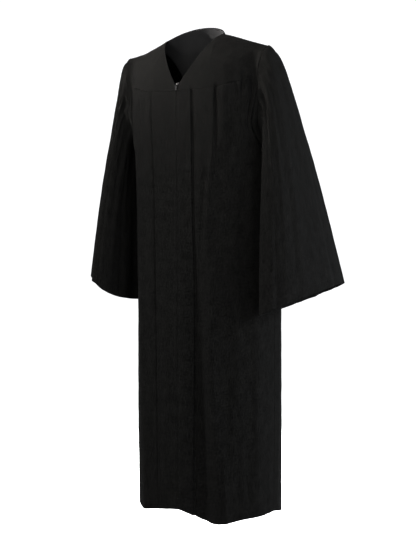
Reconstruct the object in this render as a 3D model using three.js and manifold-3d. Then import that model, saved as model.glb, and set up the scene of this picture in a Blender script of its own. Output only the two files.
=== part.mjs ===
// Graduation gown, worn form: shoulder yokes, pleated fronts, back, bell sleeves and a front zip.
// Millimetres. +Z up, the gown faces -Y, the wearer's left is +X.
// The origin is midway between the two neck points of the shoulder seams.
import * as THREE from 'three';
import { mergeVertices } from 'three/addons/utils/BufferGeometryUtils.js';
import Module from 'manifold-3d';

// ------------------------------------------------------------------ named sizes
const CLOTH = 2.0; // wall of a single layer with its turnings
const SEAM = 0.34; // space between two pieces at a seam
const NECK_HALF = 81; // neck point of the shoulder seam from the middle
const NECK_Y = -4;
const V_DEPTH = 136; // bottom of the V under the neck points
const BACK_NECK_Y = 52;
const BACK_NECK_RISE = 38;
const SHOULDER_Y = 10;
const ARMPIT_Z = -288;
const QUARTER = 275; // way round from the middle of the front to a side seam
const CLOSURE = { top: -4.5, low: -9.2 }; // the closure line, round from the middle, at the V and the hem
const V_X = -2; // bottom of the V
const FACING_HALF = 100; // round from the middle to each end of the back neck facing
const FACING_THICK = 1.0;
const ZIP_X = -2.2;
const ZIP_LENGTH = 930;
const TAPE_WIDE = 13;
const TAPE_THICK = 0.8;
const CHAIN_WIDE = 4.6;
const CHAIN_THICK = 1.5;

// Sections of the body from the armpits to the hem. square is the exponent of the section's curve.
const BODY = [
  { z: -288, half_width: 195, front_depth: 149, back_depth: 140, mid_x: 6, mid_y: 52, square: 2.3 },
  { z: -450, half_width: 194, front_depth: 149, back_depth: 143, mid_x: 9, mid_y: 52, square: 2.25 },
  { z: -700, half_width: 194, front_depth: 149, back_depth: 146, mid_x: 10, mid_y: 52, square: 2.25 },
  { z: -1000, half_width: 193, front_depth: 148, back_depth: 148, mid_x: 10, mid_y: 53, square: 2.25 },
  { z: -1260, half_width: 191, front_depth: 145, back_depth: 150, mid_x: 9, mid_y: 54, square: 2.2 },
];

// From the shoulder ridge (t 0) to the armpit level (t 1): how far down and how far forward or back.
const CHEST = [
  { t: 0, drop: 0, reach: 0 },
  { t: 0.12, drop: 0.045, reach: 0.24 },
  { t: 0.25, drop: 0.13, reach: 0.5 },
  { t: 0.38, drop: 0.25, reach: 0.74 },
  { t: 0.52, drop: 0.4, reach: 0.91 },
  { t: 0.68, drop: 0.58, reach: 0.985 },
  { t: 0.84, drop: 0.79, reach: 1 },
  { t: 1, drop: 1, reach: 1 },
];
const BLADES = [
  { t: 0, drop: 0, reach: 0 },
  { t: 0.12, drop: 0.07, reach: 0.2 },
  { t: 0.25, drop: 0.17, reach: 0.42 },
  { t: 0.38, drop: 0.3, reach: 0.65 },
  { t: 0.52, drop: 0.44, reach: 0.84 },
  { t: 0.68, drop: 0.61, reach: 0.95 },
  { t: 0.84, drop: 0.8, reach: 0.99 },
  { t: 1, drop: 1, reach: 1 },
];

// Height of the shoulder ridge by its distance out from the middle: the two shoulders differ a little.
const RIDGE = [
  { out: 81, right_z: 3, left_z: 9 },
  { out: 105, right_z: -7, left_z: 3 },
  { out: 130, right_z: -16, left_z: -5 },
  { out: 160, right_z: -26, left_z: -15 },
  { out: 205, right_z: -33, left_z: -29 },
];

// Just under the back neck edge the cloth runs smoothly from the nape out to the shoulders.
const NAPE = [
  { out: 0, y: 50, z: 37 },
  { out: 35, y: 42, z: 30 },
  { out: 81, y: 15, z: 9 },
  { out: 130, y: 5, z: -10 },
  { out: 205, y: 10, z: -31 },
];

// The armhole edge by how far down it is.
const ARMHOLE = [
  { drop: 0, front_y: 10, back_y: 10, half_x: 205 },
  { drop: 0.08, front_y: -14, back_y: 40, half_x: 202 },
  { drop: 0.25, front_y: -26, back_y: 66, half_x: 196 },
  { drop: 0.5, front_y: -28, back_y: 84, half_x: 194 },
  { drop: 0.75, front_y: -18, back_y: 88, half_x: 197 },
  { drop: 0.92, front_y: 14, back_y: 76, half_x: 197 },
  { drop: 1, front_y: 52, back_y: 52, half_x: 195 },
];

// Yoke seams: height by the way round from the middle (0) to the armhole (1).
const FRONT_YOKE = [
  { s: 0, z: -142 },
  { s: 0.3, z: -139 },
  { s: 0.55, z: -124 },
  { s: 0.8, z: -118 },
  { s: 1, z: -96 },
];
const BACK_YOKE = [
  { s: 0, z: -122 },
  { s: 0.5, z: -124 },
  { s: 1, z: -126 },
];

// Hem height, round from the right side seam (-1) by the front (0) to the left (1), and so at the back.
const FRONT_HEM = [
  { s: -1, z: -1203 },
  { s: -0.75, z: -1206 },
  { s: -0.6, z: -1211 },
  { s: -0.45, z: -1219 },
  { s: -0.2, z: -1213 },
  { s: -0.04, z: -1210 },
  { s: 0.07, z: -1219 },
  { s: 0.2, z: -1235 },
  { s: 0.33, z: -1242 },
  { s: 0.6, z: -1231 },
  { s: 1, z: -1218 },
];
const BACK_HEM = [
  { s: -1, z: -1203 },
  { s: -0.5, z: -1224 },
  { s: 0, z: -1230 },
  { s: 0.5, z: -1230 },
  { s: 1, z: -1218 },
];

// Pressed pleats: place round at the yoke and at the hem, the side its edge faces, its step and how wide
// the hollow beside the edge is.
const FRONT_PLEATS = [
  { top: -126, low: -116, faces: -1, step_top: 1.0, step_low: 0, hollow: 26 },
  { top: -77, low: -67, faces: -1, step_top: 1.4, step_low: 3.4, hollow: 26 },
  { top: 34, low: 30, faces: 1, step_top: 1.4, step_low: 3.6, hollow: 24 },
  { top: 95, low: 66, faces: 1, step_top: 1.6, step_low: 0, hollow: 26 },
];
const BACK_PLEATS = [
  { top: -118, low: -136, faces: -1, step_top: 1.4, step_low: 0.6, hollow: 26 },
  { top: -58, low: -66, faces: -1, step_top: 1.4, step_low: 2.4, hollow: 28 },
  { top: 58, low: 64, faces: 1, step_top: 1.4, step_low: 2.4, hollow: 28 },
  { top: 120, low: 134, faces: 1, step_top: 1.4, step_low: 0.6, hollow: 26 },
];

// Largest folds: where each starts, bends and ends (round is the way round from the middle), how high
// it stands (below 0 is a trough) and how wide it is.
const FRONT_FOLDS = [
  { z_top: -150, round_top: 90, z_mid: -520, round_mid: 57, z_low: -1300, round_low: 108, high: 7, wide: 19 },
  { z_top: -420, round_top: 46, z_mid: -800, round_mid: 48, z_low: -1300, round_low: 62, high: -9, wide: 17 },
  { z_top: -180, round_top: 178, z_mid: -500, round_mid: 160, z_low: -760, round_low: 165, high: -3, wide: 16 },
  { z_top: -600, round_top: 196, z_mid: -900, round_mid: 205, z_low: -1300, round_low: 212, high: 3.5, wide: 26 },
  { z_top: -260, round_top: -150, z_mid: -700, round_mid: -132, z_low: -1300, round_low: -126, high: 5, wide: 20 },
  { z_top: -600, round_top: -96, z_mid: -900, round_mid: -94, z_low: -1300, round_low: -92, high: -4, wide: 15 },
  { z_top: -500, round_top: -206, z_mid: -900, round_mid: -200, z_low: -1300, round_low: -190, high: -4, wide: 20 },
];
const BACK_FOLDS = [
  { z_top: -200, round_top: -150, z_mid: -700, round_mid: -160, z_low: -1300, round_low: -170, high: 6, wide: 22 },
  { z_top: -260, round_top: -96, z_mid: -700, round_mid: -104, z_low: -1300, round_low: -112, high: -6, wide: 18 },
  { z_top: -200, round_top: -40, z_mid: -700, round_mid: -42, z_low: -1300, round_low: -36, high: 5, wide: 22 },
  { z_top: -330, round_top: 4, z_mid: -800, round_mid: 8, z_low: -1300, round_low: 4, high: -7, wide: 20 },
  { z_top: -200, round_top: 44, z_mid: -700, round_mid: 46, z_low: -1300, round_low: 50, high: 6, wide: 20 },
  { z_top: -300, round_top: 92, z_mid: -700, round_mid: 100, z_low: -1300, round_low: 112, high: -5, wide: 20 },
  { z_top: -200, round_top: 150, z_mid: -700, round_mid: 158, z_low: -1300, round_low: 172, high: 5, wide: 24 },
];

// Each sleeve: the cuff's middle and half sizes, how its hem rises outwards and backwards, and the
// upper ring that its straight sides run from.
const SLEEVES = {
  left: { cuff_x: 265, cuff_y: 92, cuff_z: -675, out: 71, in: 50, deep: 200, rise_out: 0.4, rise_in: 0.4, rise_back: 0.15,
    top_x: 224, top_y: 26, top_z: -60, top_half: 28, top_deep: 54, puff: 41 },
  right: { cuff_x: 243, cuff_y: 86, cuff_z: -625, out: 51, in: 47, deep: 188, rise_out: 0.62, rise_in: 1.05, rise_back: 0.05,
    top_x: 218, top_y: 22, top_z: -60, top_half: 24, top_deep: 50, puff: 26 },
};
// Cap gathers and long folds of a sleeve: place round it in degrees (0 outside, 90 front, 180 body
// side, 270 back), height, width in degrees, where along it the fold starts, peaks and ends.
const SLEEVE_FOLDS = [
  { at: 78, high: -5, wide: 9, start: 0, peak: 0.1, end: 0.62 },
  { at: 60, high: 3.6, wide: 9, start: 0, peak: 0.1, end: 0.55 },
  { at: 40, high: -3, wide: 9, start: 0, peak: 0.08, end: 0.34 },
  { at: 20, high: 3.4, wide: 10, start: 0, peak: 0.07, end: 0.4 },
  { at: 0, high: -2.4, wide: 9, start: 0, peak: 0.07, end: 0.3 },
  { at: 341, high: 3, wide: 9, start: 0, peak: 0.08, end: 0.4 },
  { at: 322, high: -3.4, wide: 9, start: 0, peak: 0.08, end: 0.4 },
  { at: 302, high: 3.4, wide: 10, start: 0, peak: 0.1, end: 0.6 },
  { at: 284, high: -5, wide: 10, start: 0, peak: 0.12, end: 0.7 },
  { at: 108, high: 6, wide: 14, start: 0.1, peak: 0.5, end: 1.3 },
  { at: 40, high: 5, wide: 22, start: 0.3, peak: 0.9, end: 1.6 },
  { at: 320, high: -7, wide: 20, start: 0.3, peak: 0.9, end: 1.6 },
];

// ------------------------------------------------------------------ small helpers
const clamp = (v, a, b) => Math.min(b, Math.max(a, v));
const mix = (a, b, k) => a + (b - a) * k;
const smooth = (a, b, v) => { const k = clamp((v - a) / (b - a), 0, 1); return k * k * (3 - 2 * k); };
const bell = (d, wide) => Math.exp(-0.5 * (d / wide) ** 2);

// A smooth curve through a table's rows that never overshoots them.
function through(rows, from, to) {
  const x = rows.map((r) => r[from]);
  const y = rows.map((r) => r[to]);
  const step = x[1] < x[0] ? -1 : 1;
  const n = x.length;
  const d = [];
  for (let i = 0; i < n - 1; i++) d.push((y[i + 1] - y[i]) / (x[i + 1] - x[i]));
  const m = x.map((_, i) => {
    if (i === 0) return d[0];
    if (i === n - 1) return d[n - 2];
    return d[i - 1] * d[i] <= 0 ? 0 : (2 * d[i - 1] * d[i]) / (d[i - 1] + d[i]);
  });
  return (v) => {
    let i = 0;
    while (i < n - 2 && step * (v - x[i + 1]) > 0) i++;
    const h = x[i + 1] - x[i];
    const k = clamp((v - x[i]) / h, 0, 1);
    const k2 = k * k;
    const k3 = k2 * k;
    return y[i] * (2 * k3 - 3 * k2 + 1) + m[i] * h * (k3 - 2 * k2 + k) + y[i + 1] * (3 * k2 - 2 * k3) + m[i + 1] * h * (k3 - k2);
  };
}
const body = Object.fromEntries(['half_width', 'front_depth', 'back_depth', 'mid_x', 'mid_y', 'square'].map((k) => [k, through(BODY, 'z', k)]));
const chest = { drop: through(CHEST, 't', 'drop'), reach: through(CHEST, 't', 'reach') };
const blades = { drop: through(BLADES, 't', 'drop'), reach: through(BLADES, 't', 'reach') };
const arm = { front: through(ARMHOLE, 'drop', 'front_y'), back: through(ARMHOLE, 'drop', 'back_y'), half: through(ARMHOLE, 'drop', 'half_x') };
const ridgeRight = through(RIDGE, 'out', 'right_z');
const ridgeLeft = through(RIDGE, 'out', 'left_z');
const nape = { y: through(NAPE, 'out', 'y'), z: through(NAPE, 'out', 'z') };
const yokeFront = through(FRONT_YOKE, 's', 'z');
const yokeBack = through(BACK_YOKE, 's', 'z');
const hemFront = through(FRONT_HEM, 's', 'z');
const hemBack = through(BACK_HEM, 's', 'z');

// ------------------------------------------------------------------ the body's surface
// face is -1 for the front, +1 for the back. s runs -1 (right) to 1 (left), t 0 to 1 from the ridge
// to the armpits and 1 to 2 on to the hem.
function base(face, s, t) {
  let sine = Math.sin((s * Math.PI) / 2);
  const section = (p) => Math.max(0, 1 - Math.abs(sine) ** p) ** (1 / p);
  if (t >= 1) {
    const z = mix(ARMPIT_Z, face < 0 ? hemFront(s) : hemBack(s), t - 1);
    const deep = face < 0 ? body.front_depth(z) : body.back_depth(z);
    return new THREE.Vector3(body.mid_x(z) + body.half_width(z) * sine, body.mid_y(z) + face * deep * section(body.square(z)), z);
  }
  const part = face < 0 ? chest : blades;
  const drop = part.drop(t);
  const half = arm.half(drop);
  const p = mix(3, body.square(ARMPIT_Z), drop);
  const deep = face < 0 ? body.front_depth(ARMPIT_Z) : body.back_depth(ARMPIT_Z);
  // low in the armhole its edge is cut out of the side, so the outer columns draw in to it
  const edge = face < 0 ? arm.front(drop) : arm.back(drop);
  const cut = smooth(0.45, 0.85, drop);
  const deepAtEdge = clamp(Math.abs(edge - body.mid_y(ARMPIT_Z)) / deep, 0, 1);
  const sideShare = Math.asin(Math.min(1, (1 - deepAtEdge ** p) ** (1 / p))) / (Math.PI / 2);
  sine = Math.sin(((s * (1 - cut * (1 - sideShare) * smooth(0.5, 1, Math.abs(s)))) * Math.PI) / 2);
  const x = body.mid_x(ARMPIT_Z) * drop + half * sine;
  const away = Math.abs(x);
  let ridgeY;
  let ridgeZ;
  if (away <= NECK_HALF) {
    const k = 1 - (away / NECK_HALF) ** 2;
    ridgeY = face < 0 ? NECK_Y : mix(NECK_Y, BACK_NECK_Y, Math.sqrt(k));
    const neck = mix(RIDGE[0].right_z, RIDGE[0].left_z, (x / NECK_HALF + 1) / 2);
    ridgeZ = face < 0 ? neck + 6 * k : mix(neck, BACK_NECK_RISE, k ** 0.62);
  } else {
    const k = (away - NECK_HALF) / (205 - NECK_HALF);
    ridgeY = mix(NECK_Y, SHOULDER_Y, k);
    ridgeZ = x < 0 ? ridgeRight(away) : ridgeLeft(away);
  }
  if (face > 0) {
    const ease = smooth(0, 0.22, t);
    ridgeY = mix(ridgeY, nape.y(away), ease);
    ridgeZ = mix(ridgeZ, nape.z(away) + (x < 0 ? -2 : 2) * smooth(0, 60, away), ease);
  }
  const reach = part.reach(t);
  const sineAtEdge = Math.sin(((1 - cut * (1 - sideShare)) * Math.PI) / 2);
  const ending = smooth(0.84, 1, Math.abs(sine) / sineAtEdge);
  const edgeRidge = mix(ridgeY, SHOULDER_Y, ending);
  const plainAtEdge = mix(edgeRidge, body.mid_y(ARMPIT_Z) + face * deep * Math.max(0, 1 - sineAtEdge ** p) ** (1 / p), reach);
  const plain = mix(ridgeY, body.mid_y(ARMPIT_Z) + face * deep * section(p), reach);
  const y = mix(plain, edge, ending * (1 - cut)) + cut * (edge - plainAtEdge) * ending;
  return new THREE.Vector3(x, y, mix(ridgeZ, ARMPIT_Z, drop));
}

function outward(face, s, t) {
  const e = 0.004;
  const s0 = clamp(s - e, -1, 1);
  const s1 = clamp(s + e, -1, 1);
  const t0 = t < 1 ? Math.max(0, t - e) : Math.max(1, t - e);
  const t1 = t < 1 ? Math.min(1, t + e) : Math.min(2, t + e);
  const ds = base(face, s1, t).sub(base(face, s0, t));
  const dt = base(face, s, t1).sub(base(face, s, t0));
  return ds.cross(dt).multiplyScalar(face).normalize();
}

// The direction a wall's thickness runs in: at a shoulder seam or side seam both pieces share one.
function across(face, s, t) {
  if (Math.abs(s) > 0.9999 && t > 0.9999) return new THREE.Vector3(Math.sign(s), 0, 0);
  if (t < 1e-6 && Math.abs(base(face, s, 0).x) > NECK_HALF - 0.5) {
    return outward(-1, s, 0).add(outward(1, s, 0)).normalize();
  }
  return outward(face, s, t);
}

// How far the cloth stands off its plain surface: pleats and folds.
function relief(face, s, z, top, low) {
  const round = s * QUARTER;
  const pleats = face < 0 ? FRONT_PLEATS : BACK_PLEATS;
  const folds = face < 0 ? FRONT_FOLDS : BACK_FOLDS;
  const down = clamp((top - z) / (top - low), 0, 1);
  let off = 0;
  for (const p of pleats) {
    const q = (round - mix(p.top, p.low, down)) * p.faces;
    const step = mix(p.step_top, p.step_low, smooth(0, 0.12, down)) + (p.step_low === 0 ? p.step_top * smooth(0, 0.04, down) * (1 - smooth(0.1, 0.25, down)) : 0);
    if (q > 0 && q < p.hollow) off -= step * (1 - q / p.hollow) ** 1.5;
  }
  for (const f of folds) {
    const long = (f.z_top - z) / (f.z_top - f.z_low);
    if (long <= 0 || long >= 1) continue;
    const bend = (f.z_top - f.z_mid) / (f.z_top - f.z_low);
    const at = long < bend ? mix(f.round_top, f.round_mid, smooth(0, bend, long)) : mix(f.round_mid, f.round_low, smooth(bend, 1, long));
    off += f.high * bell(round - at, f.wide) * smooth(0, 0.3, long) * (f.z_low < -1250 ? 1 : 1 - smooth(0.7, 1, long));
  }
  return off * smooth(0, 18, (1 - Math.abs(s)) * QUARTER);
}

const heightAt = (face, s, t) => base(face, s, t).z;
// The t at which a column of the surface reaches the height z.
function reachHeight(face, s, z) {
  let a = 0;
  let b = 2;
  for (let i = 0; i < 44; i++) {
    const m = (a + b) / 2;
    if (heightAt(face, s, m) > z) a = m;
    else b = m;
  }
  return (a + b) / 2;
}
// The V: straight edges that bow in a little, from the neck points to the bottom.
function neckStart(s) {
  if (Math.abs(base(-1, s, 0).x) >= NECK_HALF - 0.01) return 0;
  let t = 0.2;
  for (let i = 0; i < 8; i++) {
    const x = base(-1, s, t).x;
    const k = Math.min(1, Math.abs(x - V_X * (1 - Math.abs(x) / NECK_HALF)) / NECK_HALF);
    t = reachHeight(-1, s, mix(x < 0 ? RIDGE[0].right_z : RIDGE[0].left_z, -V_DEPTH, (1 - k) ** 0.96));
  }
  return t;
}

// ------------------------------------------------------------------ solids
const group = new THREE.Group();
const MATERIALS = {
  cloth: { color: 0x17171a, roughness: 0.88, metalness: 0 },
  facing: { color: 0x2a2a2e, roughness: 0.5, metalness: 0 },
  tape: { color: 0x141417, roughness: 0.85, metalness: 0 },
  plastic: { color: 0x1a1a1c, roughness: 0.45, metalness: 0 },
  slider: { color: 0x2b2c2f, roughness: 0.4, metalness: 0.6 },
  metal: { color: 0x8d8f94, roughness: 0.36, metalness: 0.9 },
};

function addMesh(name, geometry, kind) {
  geometry.computeVertexNormals();
  const mesh = new THREE.Mesh(geometry, new THREE.MeshStandardMaterial(MATERIALS[kind]));
  mesh.name = name;
  group.add(mesh);
  return mesh;
}

// A wall from two grids of points, outer and inner, [row][column]. ring closes the columns.
function wall(outer, inner, ring) {
  const rows = outer.length;
  const cols = outer[0].length;
  const pos = [];
  for (const grid of [outer, inner]) for (const row of grid) for (const p of row) pos.push(p.x, p.y, p.z);
  const at = (layer, i, j) => layer * rows * cols + i * cols + (j % cols);
  const index = [];
  const quad = (a, b, c, d) => index.push(a, b, c, a, c, d);
  const last = ring ? cols : cols - 1;
  for (let i = 0; i < rows - 1; i++) {
    for (let j = 0; j < last; j++) {
      quad(at(0, i, j), at(0, i + 1, j), at(0, i + 1, j + 1), at(0, i, j + 1));
      quad(at(1, i, j), at(1, i, j + 1), at(1, i + 1, j + 1), at(1, i + 1, j));
    }
    if (!ring) {
      quad(at(0, i, 0), at(1, i, 0), at(1, i + 1, 0), at(0, i + 1, 0));
      quad(at(0, i, cols - 1), at(0, i + 1, cols - 1), at(1, i + 1, cols - 1), at(1, i, cols - 1));
    }
  }
  for (let j = 0; j < last; j++) {
    quad(at(0, 0, j), at(0, 0, j + 1), at(1, 0, j + 1), at(1, 0, j));
    quad(at(0, rows - 1, j), at(1, rows - 1, j), at(1, rows - 1, j + 1), at(0, rows - 1, j + 1));
  }
  const g = new THREE.BufferGeometry();
  g.setAttribute('position', new THREE.Float32BufferAttribute(pos, 3));
  g.setIndex(index);
  return volume(g) < 0 ? flip(g) : g;
}
function volume(g) {
  const p = g.getAttribute('position');
  const ix = g.getIndex().array;
  const a = new THREE.Vector3();
  const b = new THREE.Vector3();
  const c = new THREE.Vector3();
  let v = 0;
  for (let i = 0; i < ix.length; i += 3) {
    a.fromBufferAttribute(p, ix[i]);
    b.fromBufferAttribute(p, ix[i + 1]);
    c.fromBufferAttribute(p, ix[i + 2]);
    v += a.dot(b.cross(c)) / 6;
  }
  return v;
}
function flip(g) {
  const ix = g.getIndex().array;
  for (let i = 0; i < ix.length; i += 3) {
    const k = ix[i + 1];
    ix[i + 1] = ix[i + 2];
    ix[i + 2] = k;
  }
  return g;
}

// Draws a grid's border in by half a seam on the sides named: u and d rows, l and r columns.
function drawIn(grid, sides) {
  const pull = (a, b) => a.add(b.clone().sub(a).setLength(SEAM / 2));
  const rows = grid.length;
  const cols = grid[0].length;
  if (sides.includes('l')) for (const row of grid) pull(row[0], row[1]);
  if (sides.includes('r')) for (const row of grid) pull(row[cols - 1], row[cols - 2]);
  if (sides.includes('u')) for (let j = 0; j < cols; j++) pull(grid[0][j], grid[1][j]);
  if (sides.includes('d')) for (let j = 0; j < cols; j++) pull(grid[rows - 1][j], grid[rows - 2][j]);
}

// Columns of a panel: both edges, a close pair at each pleat, and even steps between.
function columnsOf(pleats, from, to, stepRound) {
  const keys = [from];
  const neck = (Math.asin(NECK_HALF / ARMHOLE[0].half_x) / (Math.PI / 2)) * QUARTER;
  for (const p of pleats) {
    if (p.top <= from.top + 4 || p.top >= to.top - 4) continue;
    const pair = [-0.5, 1.0].map((d) => d * p.faces).sort((a, b) => a - b);
    for (const d of pair) keys.push({ top: p.top + d, low: p.low + d });
  }
  for (const n of [-neck, neck]) if (n > from.top && n < to.top) keys.push({ top: n, low: n });
  keys.sort((a, b) => a.top - b.top);
  keys.push(to);
  const out = [keys[0]];
  for (let i = 1; i < keys.length; i++) {
    const n = Math.max(1, Math.round((keys[i].top - keys[i - 1].top) / stepRound));
    for (let k = 1; k <= n; k++) out.push({ top: mix(keys[i - 1].top, keys[i].top, k / n), low: mix(keys[i - 1].low, keys[i].low, k / n) });
  }
  return out;
}

// The rows of a column: n[0] of them down to the armpits and n[1] on to the hem.
function rowsOf(ta, tb, n) {
  const out = [];
  const cut = tb > 1.0001 ? 1 : tb;
  for (let i = 0; i <= n[0]; i++) out.push(mix(ta, cut, i / n[0]));
  for (let i = 1; i <= n[1]; i++) out.push(mix(cut, tb, i / n[1]));
  return out;
}

// A piece of the body: for each column the t it starts and ends at, and n rows.
function panel(name, face, cols, tStart, tEnd, n, sides, options = {}) {
  const { shift = 0, thick = CLOTH, kind = 'cloth', folded = true, rows = n[0] + n[1] } = options;
  const outer = [];
  const inner = [];
  for (let i = 0; i <= rows; i++) {
    const o = [];
    const q = [];
    for (const c of cols) {
      const s0 = c.top / QUARTER;
      const s1 = folded ? c.low / QUARTER : s0;
      const ta = tStart(s0);
      const tb = tEnd(s1);
      const t = rowsOf(ta, tb, n)[i];
      const down = clamp((t - ta) / (tb - ta), 0, 1);
      const s = mix(s0, s1, down);
      const p = base(face, s, t);
      const nrm = across(face, s, t);
      const off = folded ? relief(face, s, p.z, -140, -1225) : 0;
      o.push(p.clone().addScaledVector(nrm, off - shift));
      q.push(p.clone().addScaledVector(nrm, off - shift - thick));
    }
    outer.push(o);
    inner.push(q);
  }
  drawIn(outer, sides);
  drawIn(inner, sides);
  return addMesh(name, wall(outer, inner, false), kind);
}

const RIGHT_SIDE = { top: -QUARTER, low: -QUARTER };
const LEFT_SIDE = { top: QUARTER, low: QUARTER };
const yokeLineFront = (s) => reachHeight(-1, s, yokeFront(Math.abs(s)));
const yokeLineBack = (s) => reachHeight(1, s, yokeBack(Math.abs(s)));
const zero = () => 0;
const two = () => 2;
const fine = 18;
const YOKE_ROWS = [5, 0];
const PANEL_ROWS = [5, 9];
for (const side of ['left', 'right']) {
  const cols = side === 'left' ? columnsOf(FRONT_PLEATS, CLOSURE, LEFT_SIDE, fine) : columnsOf(FRONT_PLEATS, RIGHT_SIDE, CLOSURE, fine);
  panel(`yoke_front_${side}`, -1, cols, neckStart, yokeLineFront, YOKE_ROWS, side === 'left' ? 'rldu' : 'lrdu', { folded: false });
  panel(`front_${side}`, -1, cols, yokeLineFront, two, PANEL_ROWS, 'lru');
}
const backCols = columnsOf(BACK_PLEATS, RIGHT_SIDE, LEFT_SIDE, 24);
panel('yoke_back', 1, backCols, zero, yokeLineBack, YOKE_ROWS, 'lrdu', { folded: false });
panel('back', 1, backCols, yokeLineBack, two, PANEL_ROWS, 'lru');

// The facing inside the back neck lies on the back yoke's own points, moved in.
const facingCols = backCols.filter((c) => Math.abs(c.top) < FACING_HALF);
panel('back_neck_facing', 1, facingCols, zero, yokeLineBack, YOKE_ROWS, 'uuuuuuuu', { folded: false, shift: CLOTH + 0.4, thick: FACING_THICK, kind: 'facing', rows: 4 });

// ------------------------------------------------------------------ sleeves
// The body's own side at a place, for the sleeve to hang clear of it.
function bodySide(y, z, sign) {
  const zz = clamp(z, -1250, ARMPIT_Z);
  const dy = y - body.mid_y(zz);
  const deep = dy < 0 ? body.front_depth(zz) : body.back_depth(zz);
  const k = Math.abs(dy) / deep;
  if (k >= 1) return -Infinity;
  const p = body.square(zz);
  const out = (1 - k ** p) ** (1 / p);
  const face = dy < 0 ? -1 : 1;
  const s = (sign * Math.asin(Math.min(1, out))) / (Math.PI / 2);
  return sign * body.mid_x(zz) + body.half_width(zz) * out + 5 + Math.max(0, relief(face, s, zz, -140, -1225));
}
// The armhole edge of the body, point by point as the panels have it, from the shoulder point by the
// front to the armpit and back up, with a point halfway along each step.
function armholeLoop(sign) {
  const half = (face) => {
    const line = face < 0 ? yokeLineFront(sign) : yokeLineBack(sign);
    const ts = [...rowsOf(0, line, YOKE_ROWS), ...rowsOf(line, 2, PANEL_ROWS).slice(1, PANEL_ROWS[0] + 1)];
    return ts.map((v) => {
      const outer = base(face, sign, v);
      const away = outer.clone().sub(base(face, sign * 0.97, v));
      away.z = 0;
      return { outer, inner: outer.clone().addScaledVector(across(face, sign, v), -CLOTH), away: away.normalize() };
    });
  };
  const front = half(-1);
  const back = half(1).reverse();
  const turn = (list, from) => {
    const lengths = [0];
    for (let i = 1; i < list.length; i++) lengths.push(lengths[i - 1] + list[i].outer.distanceTo(list[i - 1].outer));
    list.forEach((p, i) => { p.angle = from + (180 * lengths[i]) / lengths[list.length - 1]; });
  };
  turn(front, 0);
  turn(back, 180);
  const loop = [...front.slice(0, -1), ...back];
  const out = [];
  for (let i = 0; i < loop.length - 1; i++) {
    const [a, b] = [loop[i], loop[i + 1]];
    out.push(a, { outer: a.outer.clone().lerp(b.outer, 0.5), inner: a.inner.clone().lerp(b.inner, 0.5), away: a.away.clone().lerp(b.away, 0.5), angle: (a.angle + b.angle) / 2 });
  }
  return out;
}
function sleevePoint(sign, q, edge, v) {
  const a = (edge.angle * Math.PI) / 180;
  const cos = Math.cos(a);
  const sin = Math.sin(a);
  const under = (1 - cos) / 2; // 0 on top, 1 under the arm
  const low = smooth(125, 165, 180 - Math.abs(edge.angle - 180));
  const start = edge.outer.clone().addScaledVector(edge.away, SEAM * (1.4 - 0.6 * low));
  start.z += 2 * SEAM * low;
  const soft = (c, p) => Math.sign(c) * Math.abs(c) ** (2 / p);
  const kx = q.cuff_x + (cos > 0 ? q.out : q.in) * soft(cos, 2.2);
  const ky = q.cuff_y - q.deep * soft(sin, 2.2);
  const end = new THREE.Vector3(sign * kx, ky, q.cuff_z + (cos > 0 ? q.rise_out : q.rise_in) * (kx - q.cuff_x) + q.rise_back * (ky - q.cuff_y));
  const ring = new THREE.Vector3(sign * (q.top_x + q.top_half * cos), q.top_y - q.top_deep * sin, q.top_z);
  const c1 = start.clone().add(new THREE.Vector3(sign * mix(q.puff, 16, under), 0, mix(5, 6, under)));
  const c2 = end.clone().add(ring.sub(end).multiplyScalar(mix(0.74, 0.34, under)));
  const w = 1 - v;
  return start.multiplyScalar(w ** 3).addScaledVector(c1, 3 * w * w * v).addScaledVector(c2, 3 * w * v * v).addScaledVector(end, v ** 3);
}
function sleeveRelief(angle, v) {
  let off = 0;
  for (const f of SLEEVE_FOLDS) {
    if (v <= f.start || v >= f.end) continue;
    const d = ((angle - f.at + 540) % 360) - 180;
    const k = v < f.peak ? smooth(f.start, f.peak, v) : 1 - smooth(f.peak, f.end, v);
    off += f.high * k * bell(d, f.wide);
  }
  return off;
}
function sleeve(name, sign, q) {
  const ROWS = [0, 0.05, 0.11, 0.18, 0.27, 0.38, 0.5, 0.63, 0.76, 0.89, 1];
  const loop = armholeLoop(sign);
  const at = (angle) => {
    // the edge at any angle, for slopes
    const a = ((angle % 360) + 360) % 360;
    let i = loop.length - 1;
    while (i > 0 && loop[i].angle > a) i--;
    const b = loop[(i + 1) % loop.length];
    const k = (a - loop[i].angle) / ((b.angle || 360) - loop[i].angle);
    return { outer: loop[i].outer.clone().lerp(b.outer, k), away: loop[i].away.clone().lerp(b.away, k), angle: a };
  };
  const outer = [];
  const inner = [];
  for (const v of ROWS) {
    const o = [];
    const r = [];
    for (const edge of loop) {
      const p = sleevePoint(sign, q, edge, v);
      const v0 = Math.max(0, v - 0.01);
      const v1 = Math.min(1, v + 0.01);
      const da = sleevePoint(sign, q, at(edge.angle + 4), v).sub(sleevePoint(sign, q, at(edge.angle - 4), v));
      const dv = sleevePoint(sign, q, edge, v1).sub(sleevePoint(sign, q, edge, v0));
      const nrm = da.cross(dv).multiplyScalar(sign).normalize();
      if (v === 0) {
        const low = smooth(150, 176, 180 - Math.abs(edge.angle - 180));
        nrm.multiplyScalar(low).addScaledVector(edge.outer.clone().sub(edge.inner).divideScalar(CLOTH), 1 - low).normalize();
      }
      p.addScaledVector(nrm, sleeveRelief(edge.angle, v) * smooth(0, 0.14, v));
      const clear = bodySide(p.y, p.z, sign);
      if (p.z < ARMPIT_Z + 45 && sign * p.x < clear) p.x = sign * mix(sign * p.x, clear, smooth(0, 0.1, v));
      o.push(p);
      r.push(p.clone().addScaledVector(nrm, -CLOTH));
    }
    outer.push(o);
    inner.push(r);
  }
  return addMesh(name, wall(outer, inner, true), 'cloth');
}
sleeve('sleeve_left', 1, SLEEVES.left);
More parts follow.
